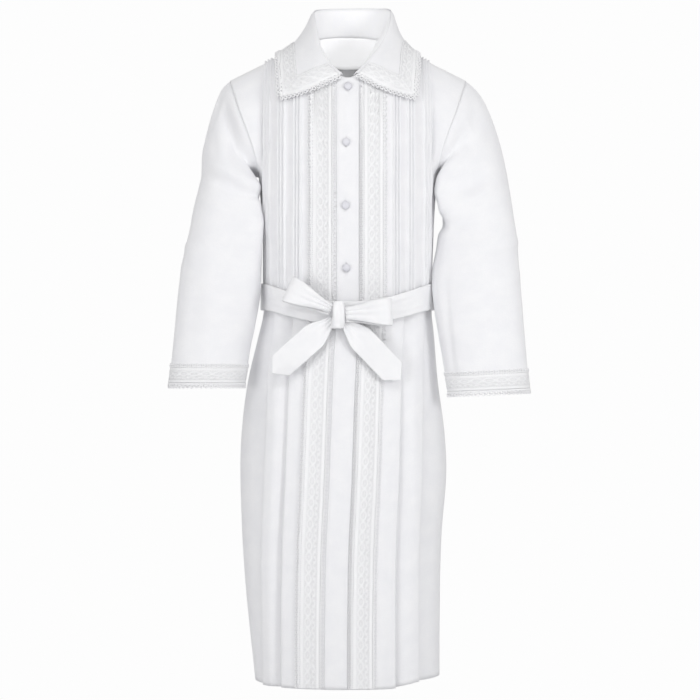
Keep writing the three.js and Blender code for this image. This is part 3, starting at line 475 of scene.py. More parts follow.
def lace_finish(name, white, painted_shade_and_slub):
    """Cotton lace: twisted thread on top, and a net whose holes and ground carry painted shade."""
    finish = Finish(name)
    uv, across, along = flat_place(finish)
    turn = 2 * math.pi / NET
    net = (across * turn + along * turn).sine() * (across * turn - along * turn).sine()
    twist = (across * 9000 + along * 5200).sine()
    slub = finish.noise(uv, 700.0, 2.0)
    ground = finish.node("ShaderNodeAttribute", {"attribute_name": "ground"})["Fac"]
    hole = net.above(0.25, 0.75) * ground
    # Painted shade: the net's holes, and a little the whole net ground, darken towards the second colour;
    # slubs darken it at random.
    tint = finish.blend(hole * 0.4 + ground * 0.06 + slub.above(0.55, 0.8) * 0.1, white, painted_shade_and_slub)
    height = twist * 0.00004 + slub * 0.00022 - hole * 0.0004
    return finish.surface(tint, slub * 0.1 + 0.75, height, {"Sheen Weight": 0.1, "Specular IOR Level": 0.25})


satin = satin_finish("sash satin", (0.88, 0.88, 0.893), (0.85, 0.852, 0.87))
picot_thread = cotton_finish("picot thread", (0.93, 0.93, 0.945), (0.9, 0.9, 0.915), 0.6, 0.00001)
# Painted shade: the button satin is a darker grey than the sash, standing in for the shade on the buttons.
button_satin_painted_shade = satin_finish("button satin", (0.74, 0.74, 0.785), (0.64, 0.64, 0.69))
# The lace's second colour is painted shade for its net, and slub tone.
lace_thread = lace_finish("lace thread", (0.93, 0.932, 0.945), (0.48, 0.485, 0.52))

# %% [markdown]
# ## The body inside the cloth
# The bodice follows a general figure: rounded ovals up to the underarm, and above it a quarter turn from the
# chest over to the shoulder seam. A bodice place is (u, v): u is the distance from the middle and, past the
# side column, the way round the side, and v is 0 at the waist, 1 at underarm height and 2 at the shoulder
# seam or neckline.

# %% The bodice's form


def depth_of(row, x, face):
    """Front to back place on a rounded oval, x from the middle. face is -1 in front and 1 behind."""
    reach = np.where(np.asarray(face) < 0, row["front"], row["back"])
    return face * reach * (1 - np.minimum(1, np.abs(x) / row["half"]) ** ROUND) ** (1 / ROUND)


CHEST = {name: column[0] for name, column in BODY.items()}


def waistline(x):
    """The waist seam's height, which dips in the middle."""
    return WAIST - WAIST_DIP * np.maximum(0, 1 - (x / 150) ** 2) ** 2


def shoulder_top(x, face):
    """The sloping shoulder seam, or over the neck opening the rise to the nape."""
    d = np.abs(x)
    nape = np.where(np.asarray(face) > 0, NAPE * (1 - (d / NECK_HALF) ** 2), 0)
    return np.where(d > NECK_HALF, -(d - NECK_HALF) * SHOULDER_SLOPE, nape)


def shoulder_point(x, tau, face):
    """From the shoulder top (tau 0) over and down to underarm height (tau a quarter turn)."""
    reach = depth_of(CHEST, x, face) - SHOULDER_Y
    rise = shoulder_top(x, face) - UNDERARM
    return points(x, SHOULDER_Y + reach * np.sin(tau), UNDERARM + rise * np.cos(tau))


def neck_tau(x, face):
    """Where a column meets the neckline, or 0 where it reaches the shoulder seam."""
    inside = np.maximum(0, 1 - (np.abs(x) / NECK_HALF) ** 2)
    reach = np.where(np.asarray(face) < 0, NECK_FRONT, NECK_BACK) * np.sqrt(inside)
    return np.arcsin(reach / np.abs(depth_of(CHEST, x, face) - SHOULDER_Y))


def armhole(w, face):
    """The armhole's edge, from the underarm (0) to the shoulder tip (1), on the wearer's left."""
    row = read(ARMHOLE, "w", w)
    return points(row["x"], np.where(np.asarray(face) < 0, row["front"], row["back"]), row["z"])


def bodice_at(face, u, v):
    """The bodice on the wearer's left at a place (u, v)."""
    u, v = np.broadcast_arrays(np.asarray(u, float), v)
    q = np.maximum(0, (u - SIDE_FROM) / SIDE_RUN)
    x = np.minimum(u, SIDE_FROM)
    z = mix(waistline(x), UNDERARM, np.minimum(1, v))
    row = read(BODY, "z", z)
    angle = mix(np.arcsin(np.minimum(1, SIDE_FROM / row["half"]) ** (ROUND / 2)), math.pi / 2, q)
    side_x = row["half"] * np.sin(angle) ** (2 / ROUND)
    side_y = depth_of(row, 0, face) * np.abs(np.cos(angle)) ** (2 / ROUND)
    turned = (q > 0)[..., None]
    low = np.where(turned, points(side_x, side_y, z), points(x, depth_of(row, x, face), z))
    w = np.maximum(0, v - 1)
    column = shoulder_point(x, mix(math.pi / 2, neck_tau(x, face), w), face)
    chord = mix(column, armhole(w, face), q[..., None])
    chord_low = mix(shoulder_point(SIDE_FROM, math.pi / 2, face), armhole(0, face), q[..., None])
    high = np.where(turned, chord + (low - chord_low) * ((1 - w) ** 1.5)[..., None], column)
    return np.where((v <= 1)[..., None], low, high)


def mirrored(grid, side):
    """The same shape on either side: 1 is the wearer's left and -1 the right."""
    return grid * np.array([side, 1, 1])


# %% [markdown]
# ## Fronts with pin tucks
# A pin tuck is a fold as thin as a pin that is sewn down for its whole length and pressed to one side. From
# outside it is a low ridge that rises gently and ends in a small step. Nine of them run down each front, in
# three groups. The columns of the grid stand close together there, so that each tuck has its own crest, and
# wide apart elsewhere.

# %% Tucked fronts
BUTTON_PLACES = ((0, -105), (-3, -209), (-4, -324), (-3, -438))  # x and z
WORN_TUCK, GROOVE = 2.0, 1.7  # a worn tuck's height by the pressed one's, and the depth of its seam's groove
PUCKER, DEEPEST = 1.8, 2.4  # how far a button pulls the cloth in, and as far in as any crease may go
EDGE = 0.0014  # the share of a panel left off at a seam
CREST = np.array([0, 0.3, 0.55, 0.78, 0.93, 1, 1.08, 1.16])  # a tuck's columns, as shares of its width


def tuck_rise(u, groups):
    """Height of the tucks at u: a quarter sine up to each crest, straight down behind it, and a groove."""
    rise = np.zeros_like(u)
    for start in groups:
        for i in range(TUCKS_EACH):
            f = (u - start - i * TUCK_PITCH) / TUCK_WIDE
            up = np.where((f > 0) & (f <= 1), np.sin(math.pi / 2 * np.clip(f, 0, 1)), 0)
            down = np.where((f > 1) & (f < 1.16), 1 - (f - 1) / 0.16, 0)
            rise += WORN_TUCK * TUCK_HIGH * (up + down) - GROOVE * bell((f - 1.34) / 0.2)
    return rise


def front_columns(start, groups):
    """Columns from the front edge to the side seam."""
    crests = [g + i * TUCK_PITCH + TUCK_WIDE * CREST for g in groups for i in range(TUCKS_EACH)]
    wide = spaced(start, LACE_IN, LACE_OUT, *groups, SIDE_FROM, SIDE_FROM + SIDE_RUN * (1 - EDGE), step=4.5)
    clear = [u for u in wide if all(abs(u - c).min() > 0.6 for c in crests)]
    return np.sort(np.concatenate([clear, *crests]))


BODICE_ROWS = spaced(0, 1, 2 - EDGE, step=0.021)
FRONT_CREASES = (
    (-60, -150, -64, -300, 4, 9, 1.2), (70, -170, 62, -330, -5, 10, 1.1),
    (-100, -330, -104, -455, 3, 10, 1.4), (104, -340, 98, -458, -3, 10, 1.4),
    (-20, -215, -52, -262, 4, 6, 0.9), (22, -330, 50, -372, -3, 6, 0.9),
    (-150, -250, -128, -330, 6, 9, 2.2), (152, -252, 132, -322, -6, 9, 2.2),
    (-162, -290, -140, -380, 6, 8, 1.8), (150, -240, 128, -200, 5, 8, -2.2),
    (-150, -238, -130, -190, -5, 8, -2.2), (0, -130, -2, -190, 2, 7, 0.8),
    (-150, -455, -120, -420, 3, 7, 1.2), (150, -458, 122, -425, -3, 7, 1.2),
    (60, -470, 52, -405, 2, 8, 1.2), (-62, -470, -50, -400, -2, 8, 1.2), (86, -120, 96, -175, 3, 8, -1.0),
    (-90, -118, -98, -170, -3, 8, -1.0),
)


def fades(v, low, high):
    """0 where v is 0 or 2, the ends of a panel, and 1 from `low` above its start to `high` below its end."""
    return ease(v / low) * ease((2 - v) / high)


def front_give(x, z, v):
    """How far the worn front stands off its form: creases, low waves, and a pucker at each button."""
    give = creases(x, z, FRONT_CREASES) + rumple(x, z, 0.7)
    for bx, bz in BUTTON_PLACES:
        far = np.hypot(x - bx, z - bz)
        spin = np.arctan2(z - bz, x - bx)
        give += -PUCKER * bell(far / 10) + 0.45 * np.cos(5 * spin) * bell((far - 14) / 7)
    return np.maximum(give, -DEEPEST) * fades(v, 0.12, 0.1)


def over_panel(foot, facing, u, v, lift, give):
    """Points over a panel of the bodice: its form plus lift and give along its outward directions. The give
    fades round the side. Along the shoulder and side seams the directions have no front-to-back part, so that
    both panels end on one line."""
    out = normals_of(foot, out=facing)
    shoulder = (v > 1.99) & (np.abs(u) >= NECK_HALF)
    side = (np.abs(u) > SIDE_FROM + 0.99 * SIDE_RUN) & (v <= 1)
    out = unit(np.where((shoulder | side)[..., None], out * np.array([1, 0, 1]), out))
    give = give * (1 - ease((np.abs(u) - SIDE_FROM) / SIDE_RUN))
    return foot + out * (lift + give)[..., None]


def on_front(side, us, vs, lift):
    """Points over one front, lifted off the form by lift plus its give."""
    u, v = np.broadcast_arrays(us, np.asarray(vs)[:, None])
    foot = mirrored(bodice_at(-1, u, v), side)
    return over_panel(foot, (0, -1, 0), u, v, lift, front_give(foot[..., 0], foot[..., 2], v))


for name, side in SIDES.items():
    us = front_columns(FRONT_EDGE[name], TUCK_GROUPS[name])
    grid = on_front(side, us, BODICE_ROWS, tuck_rise(us, TUCK_GROUPS[name])[None, :])
    cloth_piece(f"front_{name}", grid, cotton)

# %% [markdown]
# ## Front band, back and neck facing
# The band is a folded strip that covers the place where the fronts meet, so it takes their form a little
# further out, with a rounded fold along each edge. The back is one panel up to the curved neckline, and the
# facing is the strip inside it that finishes the edge and shows in the neck opening.

# %% Band, back and facing
BAND_EDGE = np.array([1, 0.985, 0.95, 0.9])
BAND_COLUMNS = np.concatenate([-BAND_EDGE, np.linspace(-0.82, 0.82, 12), BAND_EDGE[::-1]])


def band_rise(share):
    """Height of the folded strip: full over the middle, rounded off within a millimetre of its edges."""
    edge = 1 - np.abs(share)
    return 0.5 * np.sqrt(np.clip(edge / 0.08, 0, 1)) - 0.25 * bell((edge - 0.12) / 0.03)


band_rows = spaced(0.004, 1, 1.99, step=0.018)
band = on_front(1, BAND_COLUMNS * BAND_HALF, band_rows, SEAM + CLOTH + band_rise(BAND_COLUMNS)[None, :])
cloth_piece("band_bodice", band, cotton)

BACK_CREASES = (
    (-150, -190, -95, -215, 6, 11, 1.6), (148, -200, 96, -226, -6, 11, 1.6),
    (-30, -70, -22, -180, 5, 14, 1.2), (46, -80, 38, -210, -5, 14, 1.2),
    (-110, -300, -116, -450, -4, 12, 1.7), (-60, -345, -66, -462, 4, 11, 1.7),
    (6, -330, 2, -468, 4, 12, 1.6), (62, -350, 66, -464, -4, 11, 1.8), (114, -310, 120, -452, 4, 12, 1.6),
    (-90, -60, -110, -120, 5, 10, 1.0), (92, -64, 112, -130, -5, 10, 1.0),
)


def back_give(x, z, v):
    """How far the worn back stands off its form."""
    give = creases(x, z, BACK_CREASES) + rumple(x + 31, z + 17, 0.8)
    return np.maximum(give, -2.0) * fades(v, 0.12, 0.15)


def on_back(us, vs, lift):
    """Points over the back, from the wearer's right (u below 0) to the left."""
    u, v = np.meshgrid(us, vs)
    foot = bodice_at(1, np.abs(u), v) * points(np.where(u < 0, -1, 1), 1, 1)
    return over_panel(foot, (0, 1, 0), u, v, lift, back_give(foot[..., 0], foot[..., 2], v))


half = np.concatenate([NECK_HALF * np.sin(np.radians(np.arange(4, 91, 5))),
                       spaced(NECK_HALF + 4, SIDE_FROM, SIDE_FROM + SIDE_RUN * (1 - EDGE), step=5)])
across = np.concatenate([-half[::-1], [0], half])
cloth_piece("back", on_back(across, BODICE_ROWS, 0), cotton, out=(0, 1, 0))
FACING_HALF = 110
facing_us = across[np.abs(across) <= FACING_HALF]
facing_vs = spaced(1 + ARM_ROWS[-3], 2 - 3 * EDGE, step=0.03)
facing = on_back(facing_us, facing_vs, -CLOTH - 2 * SEAM)
# The neck facing carries a painted glow.
cloth_piece("neck_facing", facing, cotton_with_painted_glow, out=(0, 1, 0))

# %% [markdown]
# ## Lace
# Lace edging comes on a roll: a strip of net with flowers worked into it, a row of ladder holes and a plain
# tape, and small loops called picots along its edges. One repeat holds one flower, and a strip is that repeat
# again and again. Here the strip is a grid again. Each place on it knows how far it is across the strip and
# along it, and small formulas of those two numbers say where thread is missing, how high it stands and how
# the edge waves. The loops are threads of their own: a thread's place along the edge is a steady run plus a
# sine, which carries it back over itself once a picot. Stitches are threads too, short ones that come up
# through the cloth and go down again.

# %% One repeat of lace
PICOT = 8.0  # mm from one picot to the next
FLOWER = 19.6  # and from one medallion to the next
DOTS = FLOWER / 5  # and from one dot to the next
MEDALLION_AT, SPRIG_AT = 18.5, 28.5  # the places across the strip of the two rows of flowers
DOTTED_AT = (12.2, 34)  # and of the two dotted lines beside them
LACE_STEP = PICOT / 6
LADDER = 4.0  # from one ladder hole to the next
TAPE_WIDE, FIELD_WIDE, LADDER_AT = 9.5, 26.0, 39.0
LACE_WIDE = LACE_OUT - LACE_IN
THIN = 0.5  # thickness of the net under its flowers
EDGE_CURL = 1.7  # how far the tape's edge curls up off the cloth


def picots(along):
    """How far an edge stands out, in mm, at a place along it: small arches, drawn in under the loops."""
    return 1.4 * np.abs(np.sin(math.pi * along / PICOT)) ** 0.7 - 2.4


def flower_height(across, along):
    """Relief of the field: a chain of oval rings with an eye in each, a wavy stem with leaves beside it, and
    a dotted line on both sides."""
    turn = 2 * math.pi * along / FLOWER
    x = (across - MEDALLION_AT) / 5.3
    y = ((along + FLOWER / 2) % FLOWER - FLOWER / 2) / 9.0
    far = np.hypot(x, y)
    medallion = bell((far - 0.9) / 0.17) + 0.8 * bell(x / 0.22) * bell(y / 0.34)
    joint = bell((np.abs(y) - 1.09) / 0.1) * bell(x / 0.5)
    stem = bell((across - SPRIG_AT - 2.2 * np.sin(turn)) / 0.85)
    leaves = bell((across - SPRIG_AT + 2.6 * np.sin(turn)) / 1.7) * np.clip(0.2 + np.cos(2 * turn), 0, 1)
    dots = sum(bell((across - place) / 0.8) for place in DOTTED_AT)
    beads = (0.5 + 0.5 * np.cos(2 * math.pi * along / DOTS)) * dots
    return np.clip(medallion + joint + stem + leaves + beads, 0, 1.1)


def lace_relief(across, along):
    """Height in mm over the net: flowers, a cord on each side of them, ladder rungs and the curled edge."""
    flowers = flower_height(across, along)
    beads = np.cos(2 * math.pi * across / 2.9) * np.cos(2 * math.pi * along / 2.667)
    cords = bell((across - TAPE_WIDE) / 0.8) + bell((across - TAPE_WIDE - FIELD_WIDE) / 0.8)
    rungs = bell((across - LADDER_AT) / 2.2) * 0.4
    return 0.9 * flowers + 0.7 * cords + 0.22 * beads + rungs + EDGE_CURL * bell(across / 3.2)


def lace_ground(across, along):
    """1 where only net shows and 0 on flowers, cords and tape."""
    field = ease((across - TAPE_WIDE - 0.5) / 1.0) * ease((TAPE_WIDE + FIELD_WIDE - 0.5 - across) / 1.0)
    return field * (1 - np.clip(flower_height(across, along) * 1.6, 0, 1))


def lace_cover(across, along):
    """Which places have thread: all but the ladder holes, and a pinhole row in the tape."""
    ladder = (np.abs(across - LADDER_AT - 0.7) < 0.7) & (along % LADDER < LADDER * 0.62)
    pinholes = (np.abs(across - 4.6) < 0.72) & (along % LADDER < LADDER * 0.4)
    return ~(ladder | pinholes)


def lace_piece(name, surface, across, along, out, loop=False, keep=None, cut=None):
    """A strip of lace: surface(lift) gives its points, across and along are their places on the roll."""
    grid = surface(SEAM + THIN + lace_relief(across, along))
    if loop:
        across, along = (np.concatenate([a, a[:, -1:]], 1) for a in (across, along))
    middle_across = (across[1:, 1:] + across[:-1, :-1]) / 2
    middle_along = (along[1:, 1:] + along[:-1, :-1]) / 2
    cover = lace_cover(middle_across, middle_along)
    if keep is not None:
        cover &= keep
    flat = np.stack([across, along], -1) * MM
    ground = lace_ground(across, along)
    return cloth_piece(name, grid, lace_thread, THIN, out, -1, loop, cover, flat, ground,
                       cut)


def thread_piece(name, paths, ups, radius, finish):
    """Square threads along paths of (threads, places, 3), closed at both ends. ups says which way is off the
    cloth."""
    run = unit(np.gradient(paths, axis=1))
    aside = unit(np.cross(run, ups))
    up = np.cross(aside, run)
    turn = (np.arange(4) + 0.5) * math.pi / 2
    corners = aside[:, :, None] * np.cos(turn)[:, None] + up[:, :, None] * np.sin(turn)[:, None]
    spots = paths[:, :, None] + radius * corners
    count, places = paths.shape[:2]
    first = np.arange(count)[:, None] * places * 4
    ring = (first + np.arange(places - 1) * 4)[..., None]
    here, there = np.arange(4), (np.arange(4) + 1) % 4
    sides = np.stack([ring + here, ring + 4 + here, ring + 4 + there, ring + there], -1).reshape(-1, 4)
    caps = np.concatenate([first + [0, 1, 2, 3], first + (places - 1) * 4 + [3, 2, 1, 0]])
    quads = np.concatenate([sides, caps])
    mesh = bpy.data.meshes.new(name)
    mesh.from_pydata((spots.reshape(-1, 3) * MM).tolist(), [], quads.tolist())
    steps = np.linalg.norm(np.diff(paths, axis=1), axis=-1)
    far = np.concatenate([np.zeros((count, 1)), np.cumsum(steps, 1)], 1)
    places_flat = np.stack(np.broadcast_arrays(here * radius, far[..., None]), -1).reshape(-1, 2) * MM
    mesh.uv_layers.new(name="flat").data.foreach_set("uv", places_flat[quads].ravel().astype(np.float32))
    return finish_piece(linked(mesh), [], finish)


def along_line(place, stops, values, period=None):
    """Vectors at places along a line, straight between those given at its stops."""
    return np.stack([np.interp(place, stops, values[:, i], period=period) for i in range(3)], -1)


def picot_loops(name, edge, inner, ups, along, reach, wide, radius, period=None, lift=0):
    """A thread that loops along an edge. Once every picot it swings out, turns and crosses itself on the way
    back: its place along the edge is a steady run plus a sine of `wide`, which is large enough to carry it
    backwards, and its distance out is a cosine that goes up to `reach`. A low sine carries it over itself."""
    outward = unit(edge - inner)
    turns = np.arange(along[0], along[-1] + (PICOT if period else 0), PICOT / 14) / PICOT
    place = PICOT * turns + wide * np.sin(2 * math.pi * turns)
    out = reach * (1 - np.cos(2 * math.pi * turns)) / 2 - 0.3
    high = 0.45 * np.sin(2 * math.pi * turns) + 0.2 + lift
    foot, away, up = (along_line(place, along, values, period) for values in (edge, outward, ups))
    path = foot + away * out[:, None] + up * high[:, None]
    thread_piece(name, path[None], up[None], radius, picot_thread)


TAPE_PICOTS, LADDER_PICOTS = (4.8, 4.5, 1.15), (4.2, 4.0, 0.75)  # their reach, swing and thread radius


def strip_picots(name, laid, ups, along):
    """Picots down both edges of a straight strip. Those of the tape are larger and follow its curled edge."""
    picot_loops(f"{name}_a", laid[:, 0], laid[:, 1], ups[:, 0], along, *TAPE_PICOTS, lift=EDGE_CURL)
    picot_loops(f"{name}_b", laid[:, -1], laid[:, -2], ups[:, -1], along, *LADDER_PICOTS)


STITCH, STITCH_PITCH, STITCH_RADIUS = 2.2, 3.1, 0.3
STITCH_SHARES = np.array([0, 0.25, 0.75, 1])  # places along one stitch
STITCH_RISE = np.array([-0.3, 0.22, 0.22, -0.3])  # and its height there: its ends are in the cloth


def stitch_line(name, line, ups):
    """A row of stitches along a line: each comes up through the cloth, runs a little and goes down again."""
    far = np.concatenate([[0], np.cumsum(np.linalg.norm(np.diff(line, axis=0), axis=-1))])
    starts = np.arange(0.5, far[-1] - STITCH, STITCH_PITCH)[:, None]
    place = starts + STITCH_SHARES * STITCH
    up = along_line(place, far, ups)
    paths = along_line(place, far, line) + up * STITCH_RISE[:, None]
    thread_piece(name, paths, up, STITCH_RADIUS, cotton)


def band_stitches(name, strip, ups):
    """A row of stitches down each side of a front band, a little way in from its edge."""
    for side_name, column in (("right", 4), ("left", -5)):
        stitch_line(f"{name}_{side_name}", strip[:, column], ups[:, column])


STRIP_ACROSS = np.array([0, 3.1, 3.9, 5.3, 7.2, *spaced(8.7, TAPE_WIDE + FIELD_WIDE + 0.8, step=1.45),
                         LADDER_AT - 1.4, LADDER_AT, LADDER_AT + 1.4, 41.4, LACE_WIDE])


def waved(across, along):
    """Places across a strip with its two edges waved into picots."""
    wave = picots(along)
    return across - wave * (across < 0.5) + wave * (across > LACE_WIDE - 0.5)


def along_column(place, high):
    """Values from 0 to high whose points, by place(values), stand LACE_STEP apart, and their distances."""
    values = np.linspace(0, high, 200)
    run = np.linalg.norm(np.diff(place(values), axis=0), axis=-1)
    far = np.concatenate([[0], np.cumsum(run)])
    along = np.arange(0, far[-1], LACE_STEP)
    return np.interp(along, far, values), along


LACE_TOP, NECK_FROM, NECK_CUT = 1.94, 1.8, 57  # v at the strip's top and where the neck cuts it, past this u
for name, side in SIDES.items():
    middle = (LACE_IN + LACE_OUT) / 2
    vs, along = along_column(lambda v: bodice_at(-1, np.full_like(v, middle), v), LACE_TOP)
    across, along = np.meshgrid(STRIP_ACROSS, along)
    edged = waved(across, along)
    us = LACE_IN + edged if side > 0 else LACE_OUT - edged
    below_neck = (us[1:, 1:] < NECK_CUT) | (vs[1:, None] < NECK_FROM)
    lace_piece(f"lace_bodice_{name}", lambda lift: on_front(side, us, vs, lift), across, along, (0, -1, 0),
               keep=below_neck)
    laid = on_front(side, us, vs, SEAM + THIN)
    short = vs < NECK_FROM
    strip_picots(f"picots_bodice_{name}", laid[short], normals_of(laid)[short], along[short, 0])

band_stitches("stitches_band", band, normals_of(band))

# %% [markdown]
# ## The pleated skirt
# A knife pleat is cloth folded twice: out to a sharp edge, back underneath and forward again, so three layers
# lie on each other there. Seen from below, the hem is one long line that doubles back at every pleat. So the
# skirt is worked out as such a line at each height: a list of places, each with its distance round the body
# and its lift off it. The folds are drawn as half circles, which is how thick cloth turns.

# %% The skirt's form
QUARTER = 90  # columns from centre front to the side seam
SECTION_TURNS = np.linspace(0, math.pi, 2 * QUARTER + 1)
ROWS_APART = 4000  # more than any distance round the skirt, so that all rows can be read as one line
PLEAT_STEP = 5.5  # mm between the columns of a pleated piece where it lies flat


def skirt_top(x):
    """The skirt's upper edge, just under the waist seam."""
    return waistline(x) - SEAM


def skirt_hem(x):
    """The skirt's lower edge, which rises a little on the wearer's left."""
    return HEM + HEM_LIFT * ease((x - 75) / 55)


def skirt_form(shares):
    """The half section at each share of the way down: points, outward directions and distances round it."""
    row = read(SKIRT, "z", mix(WAIST, HEM, shares))
    front, half = SECTION_TURNS < math.pi / 2, row["half"][:, None]
    reach = np.where(front, -row["front"][:, None], row["back"][:, None])
    x = half * np.sin(SECTION_TURNS) ** (2 / ROUND)
    y = reach * np.abs(np.cos(SECTION_TURNS)) ** (2 / ROUND)
    far = np.concatenate([0 * x[:, :1], np.cumsum(np.hypot(np.diff(x), np.diff(y)), 1)], 1)
    run_x = np.concatenate([x[:, 1:], -x[:, -2:-1]], 1) - np.concatenate([-x[:, 1:2], x[:, :-1]], 1)
    run_y = np.concatenate([y[:, 1:], y[:, -2:-1]], 1) - np.concatenate([y[:, 1:2], y[:, :-1]], 1)
    run = np.hypot(run_x, run_y)
    column = {key: value[:, None] for key, value in row.items()}
    return {**column, "x": x, "y": y, "out_x": run_y / run, "out_y": -run_x / run, "far": far,
            "side": far[:, QUARTER:QUARTER + 1], "whole": far[:, -1:], "share": shares[:, None]}


def skirt_place(form, far, lift):
    """Points of the skirt at distances round from centre front, lifted off the form."""
    whole = form["whole"]
    way = np.where(far > whole, far - 2 * whole, far)
    row_gap = ROWS_APART * np.arange(len(whole))[:, None]
    where = np.minimum(np.abs(way), whole) + row_gap
    line = (form["far"] + row_gap).ravel()
    x, y, out_x, out_y = (np.interp(where, line, form[key].ravel()) for key in ("x", "y", "out_x", "out_y"))
    sign = np.where(way < 0, -1, 1)
    foot_x = sign * x + form["shift"]
    z = mix(skirt_top(foot_x), skirt_hem(foot_x), form["share"])
    return points(sign * (x + out_x * lift) + form["shift"], y + out_y * lift, z)


SKIRT_LONG = WAIST - HEM
SKIRT_CREASES = (
    (-118, 60, -128, 420, 6, 14, 2.0), (-66, 250, -58, 650, -5, 18, 1.2), (64, 120, 74, 520, 5, 18, 1.3),
    (128, 70, 136, 470, -6, 14, 2.0), (186, 80, 196, 560, 8, 20, 2.4), (-182, 90, -190, 520, -8, 20, 2.4),
    (-236, 60, -246, 640, 7, 22, 2.2), (240, 70, 252, 620, -7, 22, 2.2), (0, 330, 4, 690, 3, 16, 0.9),
    (-88, 55, -92, 190, 3, 9, 1.3), (90, 55, 92, 200, -3, 9, 1.3), (300, 80, 306, 560, 6, 20, 2.0),
    (-300, 70, -312, 600, -6, 20, 2.0), (350, 90, 352, 640, 5, 20, 1.8), (-356, 80, -350, 560, 5, 20, 1.8),
)


def skirt_give(form, far):
    """How far the worn skirt stands off its form at a distance round it from centre front."""
    whole = form["whole"]
    way = np.where(far > whole, far - 2 * whole, far)
    down = form["share"] * SKIRT_LONG
    give = creases(way, down, SKIRT_CREASES) + rumple(way, down, 0.9)
    return np.maximum(give, -1.6) * ease(form["share"] / 0.08)


def arc(far, lift, radius, way):
    """Six places of a half turn of cloth round (far, lift), bulging to +far (way 1) or -far (way -1)."""
    turn = np.linspace(math.pi / 2, -math.pi / 2, 6)
    return [(far + way * radius * np.cos(t), lift + radius * np.sin(t)) for t in turn]


def stretch(start, end, step, curve=lambda f: f):
    """Places from start to end, about `step` mm apart on the average row, the last one left out."""
    long = float(np.mean(np.abs(end[0] - start[0])))
    shares = np.linspace(0, 1, max(2, round(long / step) + 1))[:-1]
    return [(mix(start[0], end[0], f), mix(start[1], end[1], curve(f))) for f in shares]


def pleat_path(form, start, folds, end):
    """The folded line of one half, from `start` to the side seam at `end`: lists of distances and lifts."""
    rise = form["step"]
    still = 0 * rise
    path, here = [], (start + still, 2 * rise)
    for fold, following in zip(folds, (*folds[1:], None)):
        turn = (fold + still, 1.5 * rise)
        path += stretch(here, (turn[0], 2 * rise), PLEAT_STEP)
        path += arc(*turn, rise / 2, 1)
        back = (fold - PLEAT_UNDER + still, rise / 2)
        path += stretch((turn[0], rise), (back[0], rise), PLEAT_STEP)[1:]
        path += arc(*back, rise / 2, -1)
        low = (fold + 3 + still, still)
        path += stretch((back[0], still), low, PLEAT_STEP)[1:]
        if following:
            here = (following - PLEAT_UNDER + still, 2 * rise)
            path += stretch(low, here, PLEAT_STEP, ease)
    path += stretch(low, (end, rise), PLEAT_STEP, ease) + [(end, rise)]
    far, lift = (np.concatenate([np.broadcast_to(p[i], rise.shape) for p in path], 1) for i in (0, 1))
    return far, lift


SKIRT_ROWS = np.concatenate([spaced(0, 0.1, step=0.0085), spaced(0.1, 1, step=0.0125)[1:]])
SKIRT_FORM = skirt_form(SKIRT_ROWS)
LACE_ROWS = np.concatenate([[0.002], SKIRT_ROWS[1:]])


def skirt_cloth(name, far, lift, out):
    """A pleated piece: the path's middle line, which the modifier thickens both ways."""
    grid = skirt_place(SKIRT_FORM, far, lift + skirt_give(SKIRT_FORM, far))
    cloth_piece(name, grid, cotton, out=out, side=0)
    ups = normals_of(grid, out=out)
    hem = mix(grid[-3], grid[-2], 0.5)
    stitch_line(f"stitches_hem_{name}", hem + ups[-2] * CLOTH / 2, ups[-2])


for name, side in SIDES.items():
    middle = side * (SKIRT_FORM["band"] - SKIRT_FORM["shift"])
    side_seam = SKIRT_FORM["side"] - SEAM / 2 - middle
    far, lift = pleat_path(SKIRT_FORM, FRONT_EDGE[name], FRONT_FOLDS[name], side_seam)
    skirt_cloth(f"skirt_{name}", side * (far + middle), lift, (0, -1, 0))

side_seam = SKIRT_FORM["whole"] - SKIRT_FORM["side"] - SEAM / 2
back_far, back_lift = pleat_path(SKIRT_FORM, 0, BACK_FOLDS, side_seam)
both_far = SKIRT_FORM["whole"] + np.concatenate([-back_far[:, :0:-1], back_far], 1)
both_lift = np.concatenate([back_lift[:, :0:-1], back_lift], 1)
skirt_cloth("skirt_back", both_far, both_lift, (0, 1, 0))


def on_skirt(form, d, lift):
    """Points over the skirt's flat front, d from the band's centre line and lift above the cloth."""
    far = form["band"] - form["shift"] + d
    return skirt_place(form, far, 2 * form["step"] + CLOTH / 2 + lift + skirt_give(form, far))


band_form = skirt_form(LACE_ROWS)
skirt_band = on_skirt(band_form, BAND_COLUMNS * BAND_HALF, SEAM + CLOTH + band_rise(BAND_COLUMNS))
cloth_piece("band_skirt", skirt_band, cotton)
band_ups = normals_of(skirt_band)
band_stitches("stitches_skirt", skirt_band, band_ups)
stitch_line("stitches_band_end", skirt_band[-4, 3:-3], band_ups[-4, 3:-3])

FRONT_LONG = SKIRT_LONG - WAIST_DIP  # the waist dips in front, so the skirt is shorter there
for name, side in SIDES.items():
    along = np.arange(1, FRONT_LONG - 1, LACE_STEP)
    form = skirt_form(np.clip(along / FRONT_LONG, 0.002, 1))
    across, along = np.meshgrid(STRIP_ACROSS, along)
    edged = waved(across, along)
    ds = LACE_IN + edged if side > 0 else -LACE_OUT + edged
    lace_piece(f"lace_skirt_{name}", lambda lift: on_skirt(form, ds, lift), across, along, (0, -1, 0))
    laid = on_skirt(form, ds, SEAM + THIN)
    strip_picots(f"picots_skirt_{name}", laid, normals_of(laid), along[:, 0])

# %% [markdown]
# ## Sleeves
# A set-in sleeve is a tube whose top is cut to the armhole. The tube is a ring of points at every share v of
# its length, and each point's turn says where it is round the arm: 0 outside, 90 in front, 180 inside and 270
# behind. Over the first part it leaves the armhole in the direction in which the bodice faces there, and
# bends smoothly into the rings. The lace is the same tube again, a little wider, over the last few
# centimetres.

